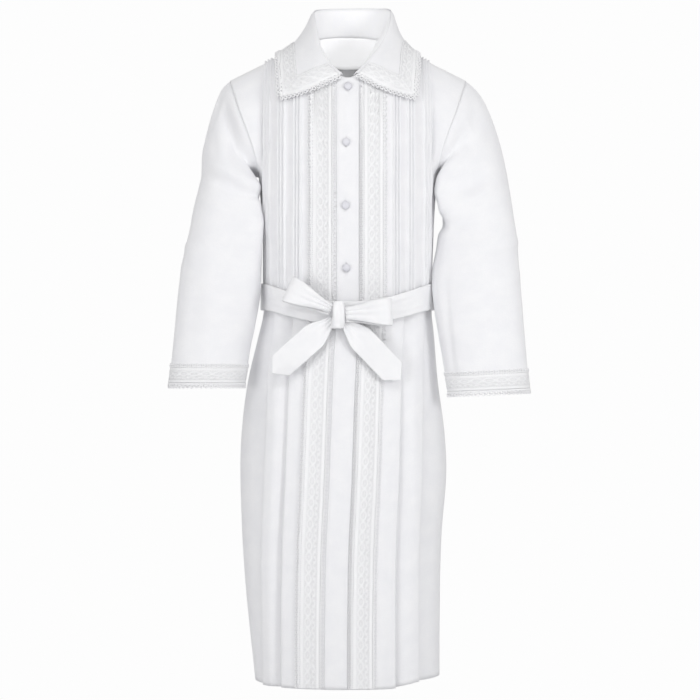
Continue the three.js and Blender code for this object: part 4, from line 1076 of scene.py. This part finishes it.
# %% The sleeve's form
CAP = 0.15
SLEEVE_LONG, CUFF_LACE, CUFF_OVER = 580, 44, 5
CUFF_TOP = 1 - (CUFF_LACE - CUFF_OVER) / SLEEVE_LONG
ARMS = {
    "right": table(
        "v x y z wide deep tilt swell",
        (CAP, 225, -4, -284, 55, 62, 17, 25), (0.3, 228.5, -17, -345, 65, 59, 9, 25),
        (0.5, 234.5, -39, -430, 74, 54, 6, 15), (0.68, 241.5, -54, -505, 75.5, 50, 4, 3),
        (0.88, 253, -70, -594, 71, 47, 1, 0), (1, 260, -77, -647, 70, 46, 0, 0),
    ),
    "left": table(
        "v x y z wide deep tilt swell",
        (CAP, 237, -4, -286, 66, 58, 17, 34), (0.3, 241, -24, -348, 71, 54, 10, 12),
        (0.39, 239.5, -36, -387, 77, 51, 8, 5),
        (0.5, 237, -42, -435, 81.5, 48, 7, 0), (0.68, 242, -58, -512, 81.5, 44, 5, 0),
        (0.88, 252, -73, -605, 77.5, 40, 3, 0), (1, 259.5, -80, -660, 75, 38, 2.5, 0),
    ),
}
SLEEVE_FOLDS = {  # turn and share of the length at each end of a fold, its width as a share and its lift
    "right": (
        (10, 0.05, 150, 0.22, 0.055, -5), (330, 0.2, 170, 0.34, 0.06, -6), (20, 0.36, 160, 0.5, 0.08, -4),
        (60, 0.55, 120, 0.95, 0.2, 3),
    ),
    "left": (
        (60, 0.08, 170, 0.2, 0.05, -6), (110, 0.34, 185, 0.26, 0.05, -10), (30, 0.3, 190, 0.42, 0.07, -4),
        (130, 0.6, 150, 0.92, 0.2, -4),
    ),
}


def armhole_ring():
    """Round the armhole in steps of 20 degrees: the way that the sleeve leaves it, and the way out of its
    cloth."""
    edge_u = SIDE_FROM + SIDE_RUN
    facing = []
    for face in (-1, 1):
        places = [bodice_at(face, edge_u - back, 1 + np.clip(ARM_ROWS + up, 0, 1)) for back, up in
                  ((0, 0), (9, 0), (0, 0.03), (0, -0.03))]
        normal = unit(np.cross(places[0] - places[1], places[2] - places[3]))
        facing.append(normal * np.sign(normal[4:5, 1:2] * face))
    turn = np.arange(18)
    row = np.abs(9 - turn)
    in_front = turn < 9
    edges = np.where(in_front[:, None], armhole(ARM_ROWS[row], -1), armhole(ARM_ROWS[row], 1))
    normals = np.where(in_front[:, None], facing[0][row], facing[1][row])
    for seam in (0, 9):
        normals[seam] = unit(facing[0][row[seam]] + facing[1][row[seam]])
    away = unit(np.cross(normals, np.roll(edges, -1, 0) - np.roll(edges, 1, 0)))
    return away, unit(normals)


SEAM_UNDER = 3  # how far the sleeve goes in under the bodice's edge
ARM_AWAY, ARM_OUT = armhole_ring()


def ring_read(values, turn):
    """Values round a ring of 18 read at any turn, by the cubic through four neighbours."""
    place = np.asarray(turn, float) % 360 / 20
    i = np.floor(place).astype(int)
    f = (place - i)[..., None]
    p = [values[(i + k) % 18] for k in (-1, 0, 1, 2)]
    return cubic(p[1], p[2], (p[2] - p[0]) / 2, (p[3] - p[1]) / 2, f)


def ring_at(arm, turn, v):
    """The sleeve's rings past its cap: an oval, tilted, with a swell at the front of its inner side."""
    row = read(arm, "v", v)
    out, tilt = row["wide"] * np.cos(np.radians(turn)), np.radians(row["tilt"])
    drop = np.maximum(0, v - 1) * SLEEVE_LONG
    swell = row["swell"] * bell((turn - 138) / 24)
    y = row["y"] - row["deep"] * np.sin(np.radians(turn)) - 0.5 * swell
    return points(row["x"] + out * np.cos(tilt) - 0.85 * swell, y, row["z"] + out * np.sin(tilt) - drop)


def fold_lift(folds, turn, v):
    """Lift of the soft folds at a turn and share of the length."""
    total = 0
    for turn0, v0, turn1, v1, wide, lift in folds:
        spread = (turn1 - turn0 + 540) % 360 - 180
        along = ((turn - turn0 + 540) % 360 - 180) / spread
        near = np.clip(along, 0, 1)
        across = bell((v - mix(v0, v1, near)) / wide)
        past = bell((along - near) * spread / 40)
        total = total + lift * across * past * np.sin(math.pi * mix(0.15, 0.85, near))
    return total


SLEEVE_CREASES = {  # the same for the creases
    "right": (
        (40, 0.04, 150, 0.055, 0.026, -18), (30, 0.1, 160, 0.12, 0.018, 7),
        (60, 0.145, 165, 0.18, 0.022, -6), (20, 0.02, 120, 0.13, 0.02, 2.2),
        (40, 0.1, 140, 0.2, 0.022, 2.4), (60, 0.24, 150, 0.3, 0.02, 1.6), (330, 0.42, 60, 0.46, 0.02, 1.5),
        (350, 0.52, 90, 0.6, 0.025, 1.3), (200, 0.2, 300, 0.12, 0.02, 2.0),
        (220, 0.36, 320, 0.3, 0.022, 1.8), (230, 0.55, 310, 0.62, 0.025, 1.4),
        (100, 0.7, 170, 0.78, 0.03, 1.2), (95, 0.02, 165, 0.1, 0.018, 1.8),
    ),
    "left": (
        (74, 0.052, 158, 0.024, 0.018, -13), (60, 0.1, 150, 0.085, 0.018, 5),
        (115, 0.21, 175, 0.29, 0.022, -5), (20, 0.03, 110, 0.11, 0.02, 2.0),
        (50, 0.14, 160, 0.26, 0.022, 2.4), (80, 0.3, 170, 0.33, 0.02, 2.0), (330, 0.4, 70, 0.44, 0.02, 1.5),
        (10, 0.55, 100, 0.62, 0.025, 1.3), (200, 0.18, 300, 0.1, 0.02, 2.0),
        (215, 0.34, 320, 0.28, 0.022, 1.8), (230, 0.5, 310, 0.58, 0.025, 1.4),
        (100, 0.72, 170, 0.8, 0.03, 1.2),
    ),
}


def sleeve_at(name, turn, v):
    """The sleeve at a turn in degrees and a share of its length."""
    turn, v = np.broadcast_arrays(np.asarray(turn, float), v)
    around = turn % 360
    low_end = ease((1 - v) / 0.08)
    lift = fold_lift(SLEEVE_FOLDS[name], around, v) * ease(v / 0.1) * low_end
    lift = lift + fold_lift(SLEEVE_CREASES[name], around, v) * ease(v / 0.04) * low_end
    lift = lift + rumple(around * 1.1, v * SLEEVE_LONG, 0.8) * ease(v / 0.06) * ease((1.02 - v) / 0.1)
    radial = points(np.cos(np.radians(around)), -np.sin(np.radians(around)), 0) * lift[..., None]
    tube = ring_at(ARMS[name], around, np.maximum(v, CAP))
    row = np.interp(np.abs(180 - around) / 20, np.arange(10), ARM_ROWS)
    edge = np.where((around < 180)[..., None], armhole(row, -1), armhole(row, 1))
    away = unit(ring_read(ARM_AWAY, around))
    start = edge - away * SEAM_UNDER - unit(ring_read(ARM_OUT, around)) * (CLOTH + 0.2)
    end = ring_at(ARMS[name], around, np.full_like(v, CAP))
    onward = (ring_at(ARMS[name], around, np.full_like(v, CAP + 0.01)) - end) * 100 * CAP
    leave = away * np.linalg.norm(end - start, axis=-1, keepdims=True) * 0.9
    leave = leave + points(45 * bell((around - 180) / 55), 0, 0)
    cap = cubic(start, end, leave, onward, (np.minimum(v, CAP) / CAP)[..., None])
    return np.where((v >= CAP)[..., None], tube, cap) + radial


SLEEVE_ROWS = np.concatenate([spaced(0, 0.4, step=0.0075), spaced(0.4, 1, step=0.0095)[1:]])
CUFF_ROUND = 20 * FLOWER
CUFF_SWING, CUFF_THREAD = 4.7, 1.25
CUFF_PICOTS = ((0, 1, 4.6), (-1, -2, 7.0))  # an edge row, the one inside it and the loops' reach
for name, side in SIDES.items():
    facing_in = (-side, 0, 0)
    turns = np.arange(0, 360, 3.75)
    grid = mirrored(sleeve_at(name, turns[None, :], SLEEVE_ROWS[:, None]), side)
    cloth_piece(f"sleeve_{name}", grid, cotton, out=facing_in, loop=True)

    along = np.arange(0, CUFF_ROUND, LACE_STEP)
    along, across = np.meshgrid(along, STRIP_ACROSS)
    vs = CUFF_TOP + waved(across, along) / SLEEVE_LONG
    tube = mirrored(sleeve_at(name, along / CUFF_ROUND * 360, vs), side)
    facing = normals_of(tube, True, facing_in)
    lace_piece(f"lace_cuff_{name}", lambda lift: tube + facing * lift[..., None], across, along, facing_in,
               True)
    laid = tube + facing * (SEAM + THIN)
    for row, inner, reach in CUFF_PICOTS:
        picot_loops(f"picots_cuff_{name}_{-row}", laid[row], laid[inner], facing[row], along[0], reach,
                    CUFF_SWING, CUFF_THREAD, CUFF_ROUND)

# %% [markdown]
# ## Collar
# A shirt collar is a stand that goes up round the neck and a leaf that turns down over it. They meet in a
# fold whose line wanders up and down round the neck, so a table gives that line by its turn. The leaf runs
# from the fold to its outer edge and rests on the shoulders, which is why every point of it is pushed off the
# chest where it comes close.

# %% The collar's form
COLLAR_FOLD = table(
    "turn x y z",
    (-170, -10, -92, -82), (-160, -24, -84, -70), (-149, -38, -75, -55), (-130, -51, -56, -27),
    (-112, -57, -32, 6), (-96, -62, -4, 38), (-80, -62, 14, 52), (-40, -38, 47, 61), (0, 8, 58, 64),
    (40, 54, 47, 62), (80, 79, 14, 54), (96, 80, -4, 39), (112, 74, -30, 10), (130, 60, -52, -22),
    (149, 41, -73, -49), (160, 28, -83, -66), (170, 14, -92, -80),
)
COLLAR_END, COLLAR_CLEAR = 170, 6.5
LEAF_DEEP, LEAF_HALF = 90, 330  # the leaf's depth, and its outer edge from the middle to a corner, about
COLLAR_EDGE = table(
    "g x y",
    (0, 0, 92), (0.25, 50, 86), (0.45, 96, 58), (0.62, 121, 18), (0.8, 125, -30), (1, 119, -73),
)


def neckline(turn):
    """The neckline at a turn from centre back, positive to the wearer's left."""
    face = np.where(np.abs(turn) < 90, 1, -1)
    x = NECK_HALF * np.sin(np.radians(np.abs(turn)))
    edge = shoulder_point(x, neck_tau(np.minimum(x, NECK_HALF - 1e-6), face), face)
    return edge * points(np.where(turn < 0, -1, 1), 1, 1)


def neck_out(turn):
    """Level direction out of the neck at a turn."""
    return unit(points(NECK_HALF * np.sin(np.radians(turn)), 70 * np.cos(np.radians(turn)), 0))


def stand_at(turn, share):
    """The stand at a turn and a share of its height, up to the fold."""
    fold = read(COLLAR_FOLD, "turn", turn)
    base = neckline(turn) - neck_out(turn) + np.array([0, 0, 3 * SEAM])
    return mix(base, points(fold["x"], fold["y"], fold["z"]), np.asarray(share)[..., None])


def shoulder_lie(x, y, clear):
    """The lie of the shoulders and chest at (x, y) from above, raised by clear."""
    face = np.where(y < SHOULDER_Y, -1, 1)
    s = np.minimum(0.999, np.abs((y - SHOULDER_Y) / (depth_of(CHEST, x, face) - SHOULDER_Y)))
    slope = np.where(shoulder_top(x, face) < 0, np.sign(x) * SHOULDER_SLOPE, 0)
    return shoulder_point(x, np.arcsin(s), face) + unit(points(slope, s * face, np.sqrt(1 - s * s))) * clear


def keep_outside(spots, clear):
    """Pushes points off the chest or back until they are clear outside, softly over three millimetres."""
    x, y, z = spots[..., 0], spots[..., 1], spots[..., 2]
    face = np.where(y < SHOULDER_Y, -1, 1)
    c = np.clip((z - UNDERARM) / (shoulder_top(x, face) - UNDERARM), 0, 1)
    skin = SHOULDER_Y + (depth_of(CHEST, x, face) - SHOULDER_Y) * np.sqrt(1 - c * c) + face * clear
    gap = (y - skin) * face
    push = np.where(gap > 3, 0, np.where(gap < -3, -gap, (3 - gap) ** 2 / 12))
    return points(x, np.where(c < 1, y + face * push, y), z)


def leaf_at(g, k):
    """The leaf: g from -1 to 1 round the neck, front to front, and k from 0 at the fold to 1 at its edge."""
    g, k = np.broadcast_arrays(np.asarray(g, float), k)
    turn = g * COLLAR_END
    fold = stand_at(turn, np.ones_like(g)) + np.array([0, 0, SEAM + CLOTH * 1.2])
    plan = read(COLLAR_EDGE, "g", np.abs(g))
    edge = shoulder_lie(plan["x"] * np.where(g < 0, -1, 1), plan["y"], COLLAR_CLEAR)
    roll = 3.2 * ease(k / 0.06) * (1 - k)
    spots = mix(fold, edge, k[..., None]) + neck_out(turn) * roll[..., None]
    spots[..., 2] += 2.5 * np.sin(math.pi * k) * (1 - np.abs(g) ** 4)
    return keep_outside(spots, COLLAR_CLEAR - 0.6 * (1 - k))


def leaf_past(g, k):
    """The leaf, running straight on past its edges, as its last tenth does there and its last fiftieth at the
    fronts."""
    in_g, in_k = np.clip(g, -1, 1), np.minimum(1, k)
    inside, edge = leaf_at(in_g, in_k), np.ones_like(in_k)
    beyond = np.maximum(0, k - 1)[..., None] / 0.1
    past = inside + (leaf_at(in_g, edge) - leaf_at(in_g, 0.9 * edge)) * beyond
    aside = (np.abs(g) - np.abs(in_g))[..., None] / 0.02
    return past + (inside - leaf_at(in_g * 0.98, in_k)) * aside


COLLAR_CREASES = (
    (-260, 30, -200, 60, 3, 8, 0.7), (250, 30, 210, 62, -3, 8, 0.7), (-60, 20, -40, 80, 4, 12, 0.8),
    (70, 24, 50, 84, -4, 12, 0.8), (-150, 20, -170, 90, 5, 12, 0.9), (156, 22, 176, 88, -5, 12, 0.9),
)


def leaf_give(g, k):
    """How far the worn leaf stands off its form. Its creases are placed in rough millimetres."""
    a, b = g * 300, k * LEAF_DEEP
    give = creases(a, b, COLLAR_CREASES) + 0.5 * rumple(a, b, 0.8)
    return np.maximum(give, -0.9) * ease(k / 0.15) * ease((1.001 - np.abs(g)) / 0.04)


def on_leaf(g, k, lift):
    """Points over the leaf, lifted off the form by lift plus its give. Its front edges bow out a little."""
    g = g * (1 + 0.012 * np.sin(math.pi * np.clip(k, 0, 1)) * ease((np.abs(g) - 0.8) / 0.2))
    foot = leaf_past(g, k)
    give = leaf_give(np.clip(g, -1, 1), np.minimum(k, 1))
    return foot + normals_of(foot, out=(0, 1, 0)) * (lift + give)[..., None]


stand_turns = spaced(-COLLAR_END, COLLAR_END, step=3.4)
stand = stand_at(stand_turns[None, :], np.linspace(-0.08, 1, 10)[:, None])
# The stand carries a weaker painted glow.
cloth_piece("collar_stand", stand, cotton_with_half_painted_glow, out=(0, 1, 0))

leaf_gs = spaced(-1, 1, step=0.0115)
leaf_ks = np.concatenate([[0, 0.012, 0.03, 0.05], spaced(0.08, 1, step=0.036)])
g, k = np.meshgrid(leaf_gs, leaf_ks)
cloth_piece("collar_leaf", on_leaf(g, k, CLOTH + 0 * g), cotton, out=(0, 1, 0))

# %% [markdown]
# ## Lace round the collar
# The lace follows the leaf's outer edge and turns the corner at each point to run up the front edge. On a
# real collar it is folded there in a mitre. So each place takes its distance across the strip from whichever
# of the two edges is nearer, and the flowers of the two runs meet on the diagonal, as a mitre's do. A cord
# along it is the fold's thick edge.

# %% Collar lace
COLLAR_LACE = 36  # how much of the strip shows: its ladder edge is sewn under
COLLAR_PICOTS = (6.6, 4.9, 1.4)  # reach, swing and thread radius


def edge_distances(g, k):
    """Millimetres from each place to the outer edge and to the nearer front edge, and along the former."""
    spots = leaf_past(g, k)
    down = np.linalg.norm(np.diff(spots, axis=0), axis=-1)
    from_edge = np.concatenate([np.cumsum(down[::-1], 0)[::-1], 0 * down[:1]], 0)
    aside = np.linalg.norm(np.diff(spots, axis=1), axis=-1)
    run = np.concatenate([0 * aside[:, :1], np.cumsum(aside, 1)], 1)
    total = run[:, -1:]
    from_front = np.minimum(run, total - run)
    round_edge = run[-1:] - total[-1:] / 2
    return from_edge, from_front, round_edge + 0 * run


lace_gs = np.concatenate([[-1.01], spaced(-1, 1, step=0.0046), [1.01]])
lace_ks = np.concatenate([spaced(0.05, 0.5, step=0.022), spaced(0.52, 1, step=0.0165), [1.035]])
g, k = np.meshgrid(lace_gs, lace_ks)
from_edge, from_front, round_edge = edge_distances(g, k)
across = np.minimum(from_edge, from_front)
along = np.where(from_edge <= from_front, round_edge, from_edge)
k[-1] += picots(round_edge[-1]) / LEAF_DEEP
g[:, 0] -= picots(from_edge[:, 0]) / LEAF_HALF
g[:, -1] += picots(from_edge[:, -1]) / LEAF_HALF
inside = (across[1:, 1:] + across[:-1, :-1]) / 2 < COLLAR_LACE
lace_long = float(np.ptp(round_edge) + 2 * from_edge[0, 0]) * MM
lace_piece("lace_collar", lambda lift: on_leaf(g, k, lift + CLOTH), across, along, (0, 1, 0), keep=inside,
           cut=(COLLAR_LACE * MM, lace_long, COLLAR_LACE * MM * lace_long))
laid = on_leaf(g, k, SEAM + THIN + CLOTH)
ups = normals_of(laid, out=(0, 1, 0))
picot_loops("picots_collar_edge", laid[-1, 1:-1], laid[-3, 1:-1], ups[-2, 1:-1], round_edge[-1, 1:-1],
            *COLLAR_PICOTS)
for side_name, edge, inner in (("right", 0, 2), ("left", -1, -3)):
    picot_loops(f"picots_collar_{side_name}", laid[::-1, edge], laid[::-1, inner], ups[::-1, edge],
                from_edge[::-1, edge], *COLLAR_PICOTS)

# %% Mitre cords
MITRE_CORD, MITRE_LIFT = 1.0, 0.35
rows = np.flatnonzero(from_edge[:, 0] < COLLAR_LACE + 1)
here = np.arange(len(rows))
for side_name, turned in (("right", 1), ("left", -1)):  # each row is read inwards from that side's front edge
    ahead = (from_front - from_edge)[rows, ::turned]
    over, up = laid[rows, ::turned], ups[rows, ::turned]
    first = np.argmax(ahead > 0, 1)
    part = ahead[here, first] / (ahead[here, first] - ahead[here, first - 1])
    line = over[here, first] - (over[here, first] - over[here, first - 1]) * part[:, None]
    line = line + MITRE_LIFT * up[here, first]
    thread_piece(f"mitre_{side_name}", line[None], up[here, first][None], MITRE_CORD, picot_thread)

# %% [markdown]
# ## Sash
# The sash is a folded strip of satin, wound once round the waist and tied in a bow. The belt is a level oval
# band that dips in front, with creases where the knot pulls it. A bow loop runs out, turns and comes back
# behind, and widens as it leaves the knot; the two tails hang below and end in a point.

# %% Belt
BELT_WIDE, BELT_CLEAR = 50, 6.8
BELT_HALF = 430  # its length from centre front to centre back
BELT_CREASES = (
    (-20, 6, -120, 14, 3, 3.5, 1.0), (-25, -8, -150, -4, -3, 4, 0.9), (20, 8, 110, 13, -3, 3.5, 1.0),
    (24, -6, 140, -10, 3, 4, 0.9), (-150, 10, -320, 6, 4, 5, 0.8), (160, -6, 330, -10, 4, 5, 0.8),
    (-340, -8, -470, 2, 4, 5, 0.7), (350, 8, 470, 4, -4, 5, 0.7),
)


def belt_at(angle, v, lift):
    """The belt at an angle from centre front, a share v of its half width and a lift off the waist."""
    front = np.maximum(0, np.cos(angle))
    waist = read(BODY, "z", WAIST)
    z = WAIST - (WAIST_DIP + 2) * front**3 + (BELT_WIDE / 2 - 4 * front**2) * v
    reach = np.where(np.cos(angle) > 0, waist["front"], waist["back"]) + BELT_CLEAR + lift
    x = (waist["half"] + BELT_CLEAR + lift) * np.sign(np.sin(angle)) * np.abs(np.sin(angle)) ** (2 / ROUND)
    return points(x, -reach * np.sign(np.cos(angle)) * np.abs(np.cos(angle)) ** (2 / ROUND), z)


belt_angles, belt_vs = np.meshgrid(np.radians(np.arange(0, 360, 2.0) - 180), np.linspace(-1, 1, 27))
belt_along = belt_angles / math.pi * BELT_HALF
edge_round = 0.5 * ease((1 - np.abs(belt_vs)) / 0.1)
belt_up = belt_vs * BELT_WIDE / 2
belt_lift = creases(belt_along, belt_up, BELT_CREASES) + rumple(belt_along, belt_up, 0.5) + edge_round
belt = belt_at(belt_angles, belt_vs, SASH - 0.3 + np.maximum(belt_lift, -0.6))
cloth_piece("belt", belt, satin, SASH, (0, -1, 0), loop=True)

# %% Bow loops and tails
KNOT = np.array([-18, -131, -524])
LOOPS = {
    "right": {"long": 91, "angle": 154, "rise": 4, "root": 7.5, "end": 24, "bulge": 12, "roll": 5},
    "left": {"long": 88, "angle": 3, "rise": 1, "root": 11, "end": 24.5, "bulge": 12, "roll": -5},
}
TAILS = {
    "right": {"long": 149, "angle": 221.5, "root": 9, "end": 24.5, "out": -9, "back": 11.6},
    "left": {"long": 153, "angle": 314, "root": 9, "end": 24, "out": -5, "back": 11.6},
}
TAIL_POINT = 22
LOOP_FROM = 10


def loop_at(loop, k, w):
    """A bow loop's middle line: k goes out in front and back behind, w from -1 to 1 across the sash."""
    along = loop["long"] * np.sin(math.pi * mix(0.006, 0.994, k)) ** 0.8
    gather = mix(loop["root"], loop["end"], ease(along / loop["long"]))
    swing = loop["bulge"] * np.sin(2 * math.pi * k) + 1.8 * np.cos(math.pi * k)
    near_knot = ease(1.15 - along / loop["long"])
    creased = 2.6 * np.cos(3.2 * math.pi * w + 0.6 - 1.4 * along / loop["long"]) * near_knot
    creased = creased * np.cos(math.pi * k)
    across = w * gather + loop["roll"] * (k - 0.25)
    a = math.radians(loop["angle"])
    x = (along + LOOP_FROM) * math.cos(a) - across * math.sin(a)
    z = (along + LOOP_FROM) * math.sin(a) + across * math.cos(a) + loop["rise"]
    return points(x, -swing - 0.5 * creased, z) + KNOT


def tail_at(tail, k, w):
    """A tail: k from the knot to its point, w across."""
    across = w * mix(tail["root"], tail["end"], ease(k * 2.8))
    out = 12 + k * (tail["long"] - np.abs(w) * TAIL_POINT * k)
    creased = 0.9 * np.cos(3.5 * math.pi * w + 0.4) * ease(1 - k * 2.2)
    twist = 2.2 * np.sin(2.4 * math.pi * k) * w
    y = tail["back"] + tail["out"] * np.sin(math.pi * k) - 4 * k + twist + creased
    a = math.radians(tail["angle"])
    x, z = out * math.cos(a) - across * math.sin(a), out * math.sin(a) + across * math.cos(a)
    return points(x, y, z) + KNOT


for kind, shapes, place, columns in (("loop", LOOPS, loop_at, 70), ("tail", TAILS, tail_at, 60)):
    for name, shape in shapes.items():
        ks, ws = np.meshgrid(np.linspace(0, 1, columns), np.linspace(-1, 1, 25))
        cloth_piece(f"bow_{kind}_{name}", place(shape, ks, ws), satin, SASH, (0, -1, 0), 0)

# %% [markdown]
# ## Knot and buttons
# The knot is one turn of sash pulled tight, so it is an upright oval with creases that run round it. A
# covered button is a metal or plastic dome with a disc of cloth drawn over it: smooth on top, finely gathered
# underneath. Both are shapes turned round an axis, with a small change of radius by the angle.

# %% Closed round pieces


def closed_piece(name, rings, tip_low, tip_high, finish):
    """A closed satin skin from rings of points (rows by columns), with a point that closes each end."""
    rows, columns = rings.shape[:2]
    r, c = np.meshgrid(np.arange(rows - 1), np.arange(columns), indexing="ij")
    here, right = (r * columns + c).ravel(), (r * columns + (c + 1) % columns).ravel()
    quads = np.stack([here, right, right + columns, here + columns], 1)
    ring = np.arange(columns)
    low, high = rows * columns, rows * columns + 1
    top = (rows - 1) * columns
    fans = [(low, (i + 1) % columns, i) for i in ring]
    fans += [(high, top + i, top + (i + 1) % columns) for i in ring]
    spots = np.concatenate([rings.reshape(-1, 3), [tip_low, tip_high]]) * MM
    mesh = bpy.data.meshes.new(f"{name}_worn")
    mesh.from_pydata(spots.tolist(), [], quads.tolist() + fans)
    mesh.update(calc_edges=True)
    uv = mesh.uv_layers.new(name="flat")
    corners = np.empty(len(mesh.loops), np.int32)
    mesh.loops.foreach_get("vertex_index", corners)
    uv.data.foreach_set("uv", spots[corners][:, [0, 2]].astype(np.float32).ravel())
    volume = np.einsum("ij,ij->i", spots[quads[:, 0]], np.cross(spots[quads[:, 1]], spots[quads[:, 2]])).sum()
    if volume < 0:
        mesh.flip_normals()
    return finish_piece(linked(mesh), [name], finish)


# %% Knot
KNOT_WIDE, KNOT_DEEP, KNOT_HIGH = 11, 9.5, 25  # half its width, depth and height
knot_turns = np.linspace(0, 2 * math.pi, 72, endpoint=False)
height, turn = np.meshgrid(np.linspace(-0.98, 0.98, 40), knot_turns, indexing="ij")
wide = np.sqrt(1 - 0.66 * height**4) * (1 - 0.24 * height) * (1 + 0.06 * np.cos(3 * turn + 2 * height))
fold = 0.09 * np.cos(3 * turn + 2.6 * height) * bell(height / 0.9)
knot_x = KNOT_WIDE * (wide + fold) * np.cos(turn) + 1.5 * height
knot_y = KNOT_DEEP * (wide + fold) * np.sin(turn)
knot_rings = points(knot_x, knot_y, KNOT_HIGH * np.sin(height * math.pi / 2)) + KNOT
closed_piece("bow_knot", knot_rings, KNOT + [0, 0, -KNOT_HIGH], KNOT + [0, 0, KNOT_HIGH], satin)

# %% Buttons and buttonholes
BUTTON_R, BUTTON_HIGH, BUTTON_BASE = 7.4, 6.4, 1.9
HOLE_HALF, HOLE_WIDE, HOLE_THREAD = 10.5, 1.1, 0.45


def button_place(x, z):
    """A button's foot on the band, and its outward and upward directions. Above the underarm the chest is a
    quarter turn, so the button leans back with it."""
    foot_y, lean = depth_of(read(BODY, "z", z), x, -1), 0.0
    if z > UNDERARM:
        c = (z - UNDERARM) / (0 - UNDERARM)
        foot_y = SHOULDER_Y + (depth_of(CHEST, x, -1) - SHOULDER_Y) * math.sqrt(1 - c * c)
        lean = math.atan2(c * CHEST["front"], math.sqrt(1 - c * c) * -UNDERARM)
    outward = np.array([0, -math.cos(lean), math.sin(lean)])
    upward = np.array([0, math.sin(lean), math.cos(lean)])
    return np.array([x, float(foot_y), z]) + outward * (CLOTH + 2 * SEAM + 0.2), outward, upward


button_turns = np.linspace(0, 2 * math.pi, 48, endpoint=False)
rise, turn = np.meshgrid(np.linspace(-0.35, 0.97, 18), button_turns, indexing="ij")
gathered = 1 + 0.02 * np.cos(24 * turn) * ease((0.25 - rise) / 0.5)
radius = BUTTON_R * np.cos(rise * math.pi / 2) * gathered
up = BUTTON_BASE + (BUTTON_HIGH - BUTTON_BASE) * np.sin(rise * math.pi / 2)
around = np.linspace(0, 2 * math.pi, 60)
for i, place in enumerate(BUTTON_PLACES):
    foot, outward, upward = button_place(*place)
    rings = foot + points(1, 0, 0) * (radius * np.cos(turn))[..., None]
    rings = rings + upward * (radius * np.sin(turn))[..., None] + outward * up[..., None]
    # The buttons are covered in satin with painted shade.
    closed_piece(f"button_{i + 1}", rings, foot, foot + outward * BUTTON_HIGH, button_satin_painted_shade)
    slit = foot + points(HOLE_WIDE, 0, 0) * np.sin(around)[:, None]
    slit = slit + upward * HOLE_HALF * np.cos(around)[:, None]
    slit = slit + outward * (0.5 + 0.25 * np.sin(24 * around))[:, None]
    ups = np.broadcast_to(outward, slit[None].shape)
    thread_piece(f"buttonhole_{i + 1}", slit[None], ups, HOLE_THREAD, cotton)

# %% [markdown]
# ## Floor, light and camera
# A white garment on white needs very soft light. Five square lamps stand round it: one in front on each side,
# one above the camera, one behind and one low in front, so that folds show as faint greys. The camera sees
# the floor and the world as one pale paper. All other rays meet a plain white floor and a dimmer air, which
# fills the shadows.

# %% Camera
SCALE_EYE = 3.6  # metres from the camera to the robe's middle
EYE_X, EYE_Z = 0.0038, -0.588
VIEW_WIDE = 1.3195  # metres of width that the view takes in at the robe's middle

scene = bpy.context.scene
camera = bpy.data.objects.new("camera", bpy.data.cameras.new("camera"))
camera.location = (EYE_X, -SCALE_EYE, EYE_Z)
camera.rotation_euler = (math.pi / 2, 0, 0)
camera.data.lens = camera.data.sensor_width * SCALE_EYE / VIEW_WIDE
scene.collection.objects.link(camera)
scene.camera = camera

# %% Floor
FLOOR_Z = HEM * MM - 0.06
PAPER = (0.983, 0.983, 0.983)  # what the camera sees of the floor and the world
FLOOR_WHITE = (0.8, 0.8, 0.81)  # and what the light meets

backdrop = Finish("pale paper")
light_path = backdrop.node("ShaderNodeLightPath")
glow = backdrop.node("ShaderNodeEmission", None, Color=(*PAPER, 1), Strength=1.0)["Emission"]
paper = backdrop.node("ShaderNodeBsdfDiffuse", None, Color=(*FLOOR_WHITE, 1))["BSDF"]
shown = backdrop.node("ShaderNodeMixShader", None, light_path["Is Camera Ray"], paper, glow)["Shader"]
backdrop.node("ShaderNodeOutputMaterial", None, Surface=shown)
bpy.ops.mesh.primitive_plane_add(size=30, location=(0, 0, FLOOR_Z))
floor = bpy.context.object
floor.name = "floor"
floor.data.materials.append(backdrop.material)

# %% World
AIR_LIGHT, AIR_STRENGTH = (1.0, 0.998, 0.99), 0.57

world = bpy.data.worlds.new("studio")
scene.world = world
world.use_nodes = True
links, nodes = world.node_tree.links, world.node_tree.nodes
nodes.clear()
air = [nodes.new("ShaderNodeBackground") for _ in range(2)]
for background, shade, strength in zip(air, (AIR_LIGHT, PAPER), (AIR_STRENGTH, 1.0)):
    background.inputs["Color"].default_value = (*shade, 1)
    background.inputs["Strength"].default_value = strength
chosen = nodes.new("ShaderNodeMixShader")
links.new(nodes.new("ShaderNodeLightPath").outputs["Is Camera Ray"], chosen.inputs["Fac"])
links.new(air[0].outputs[0], chosen.inputs[1])
links.new(air[1].outputs[0], chosen.inputs[2])
links.new(chosen.outputs[0], nodes.new("ShaderNodeOutputWorld").inputs["Surface"])
scene.view_settings.view_transform = "Standard"

# %% Lamps
LIGHTS = (  # place in metres, width of the lamp and its power in watts
    (2.2, -2.4, -0.1, 0.7, 24), (-2.1, -2.7, -0.5, 1.6, 23.5), (0.1, -2.2, 1.3, 0.6, 13),
    (0, 2.9, 0.4, 2.4, 24), (0.5, -2.4, -2.9, 1.2, 24),
)
TARGET = np.array([0, 0, -0.55])
for i, (x, y, z, size, power) in enumerate(LIGHTS):
    lamp = bpy.data.lights.new(f"soft_light_{i + 1}", "AREA")
    lamp.size, lamp.energy = size, power
    lamp_object = bpy.data.objects.new(lamp.name, lamp)
    place = np.array([x, y, z])
    lamp_object.location = place
    lamp_object.rotation_euler = Vector(TARGET - place).to_track_quat("-Z", "Y").to_euler()
    scene.collection.objects.link(lamp_object)
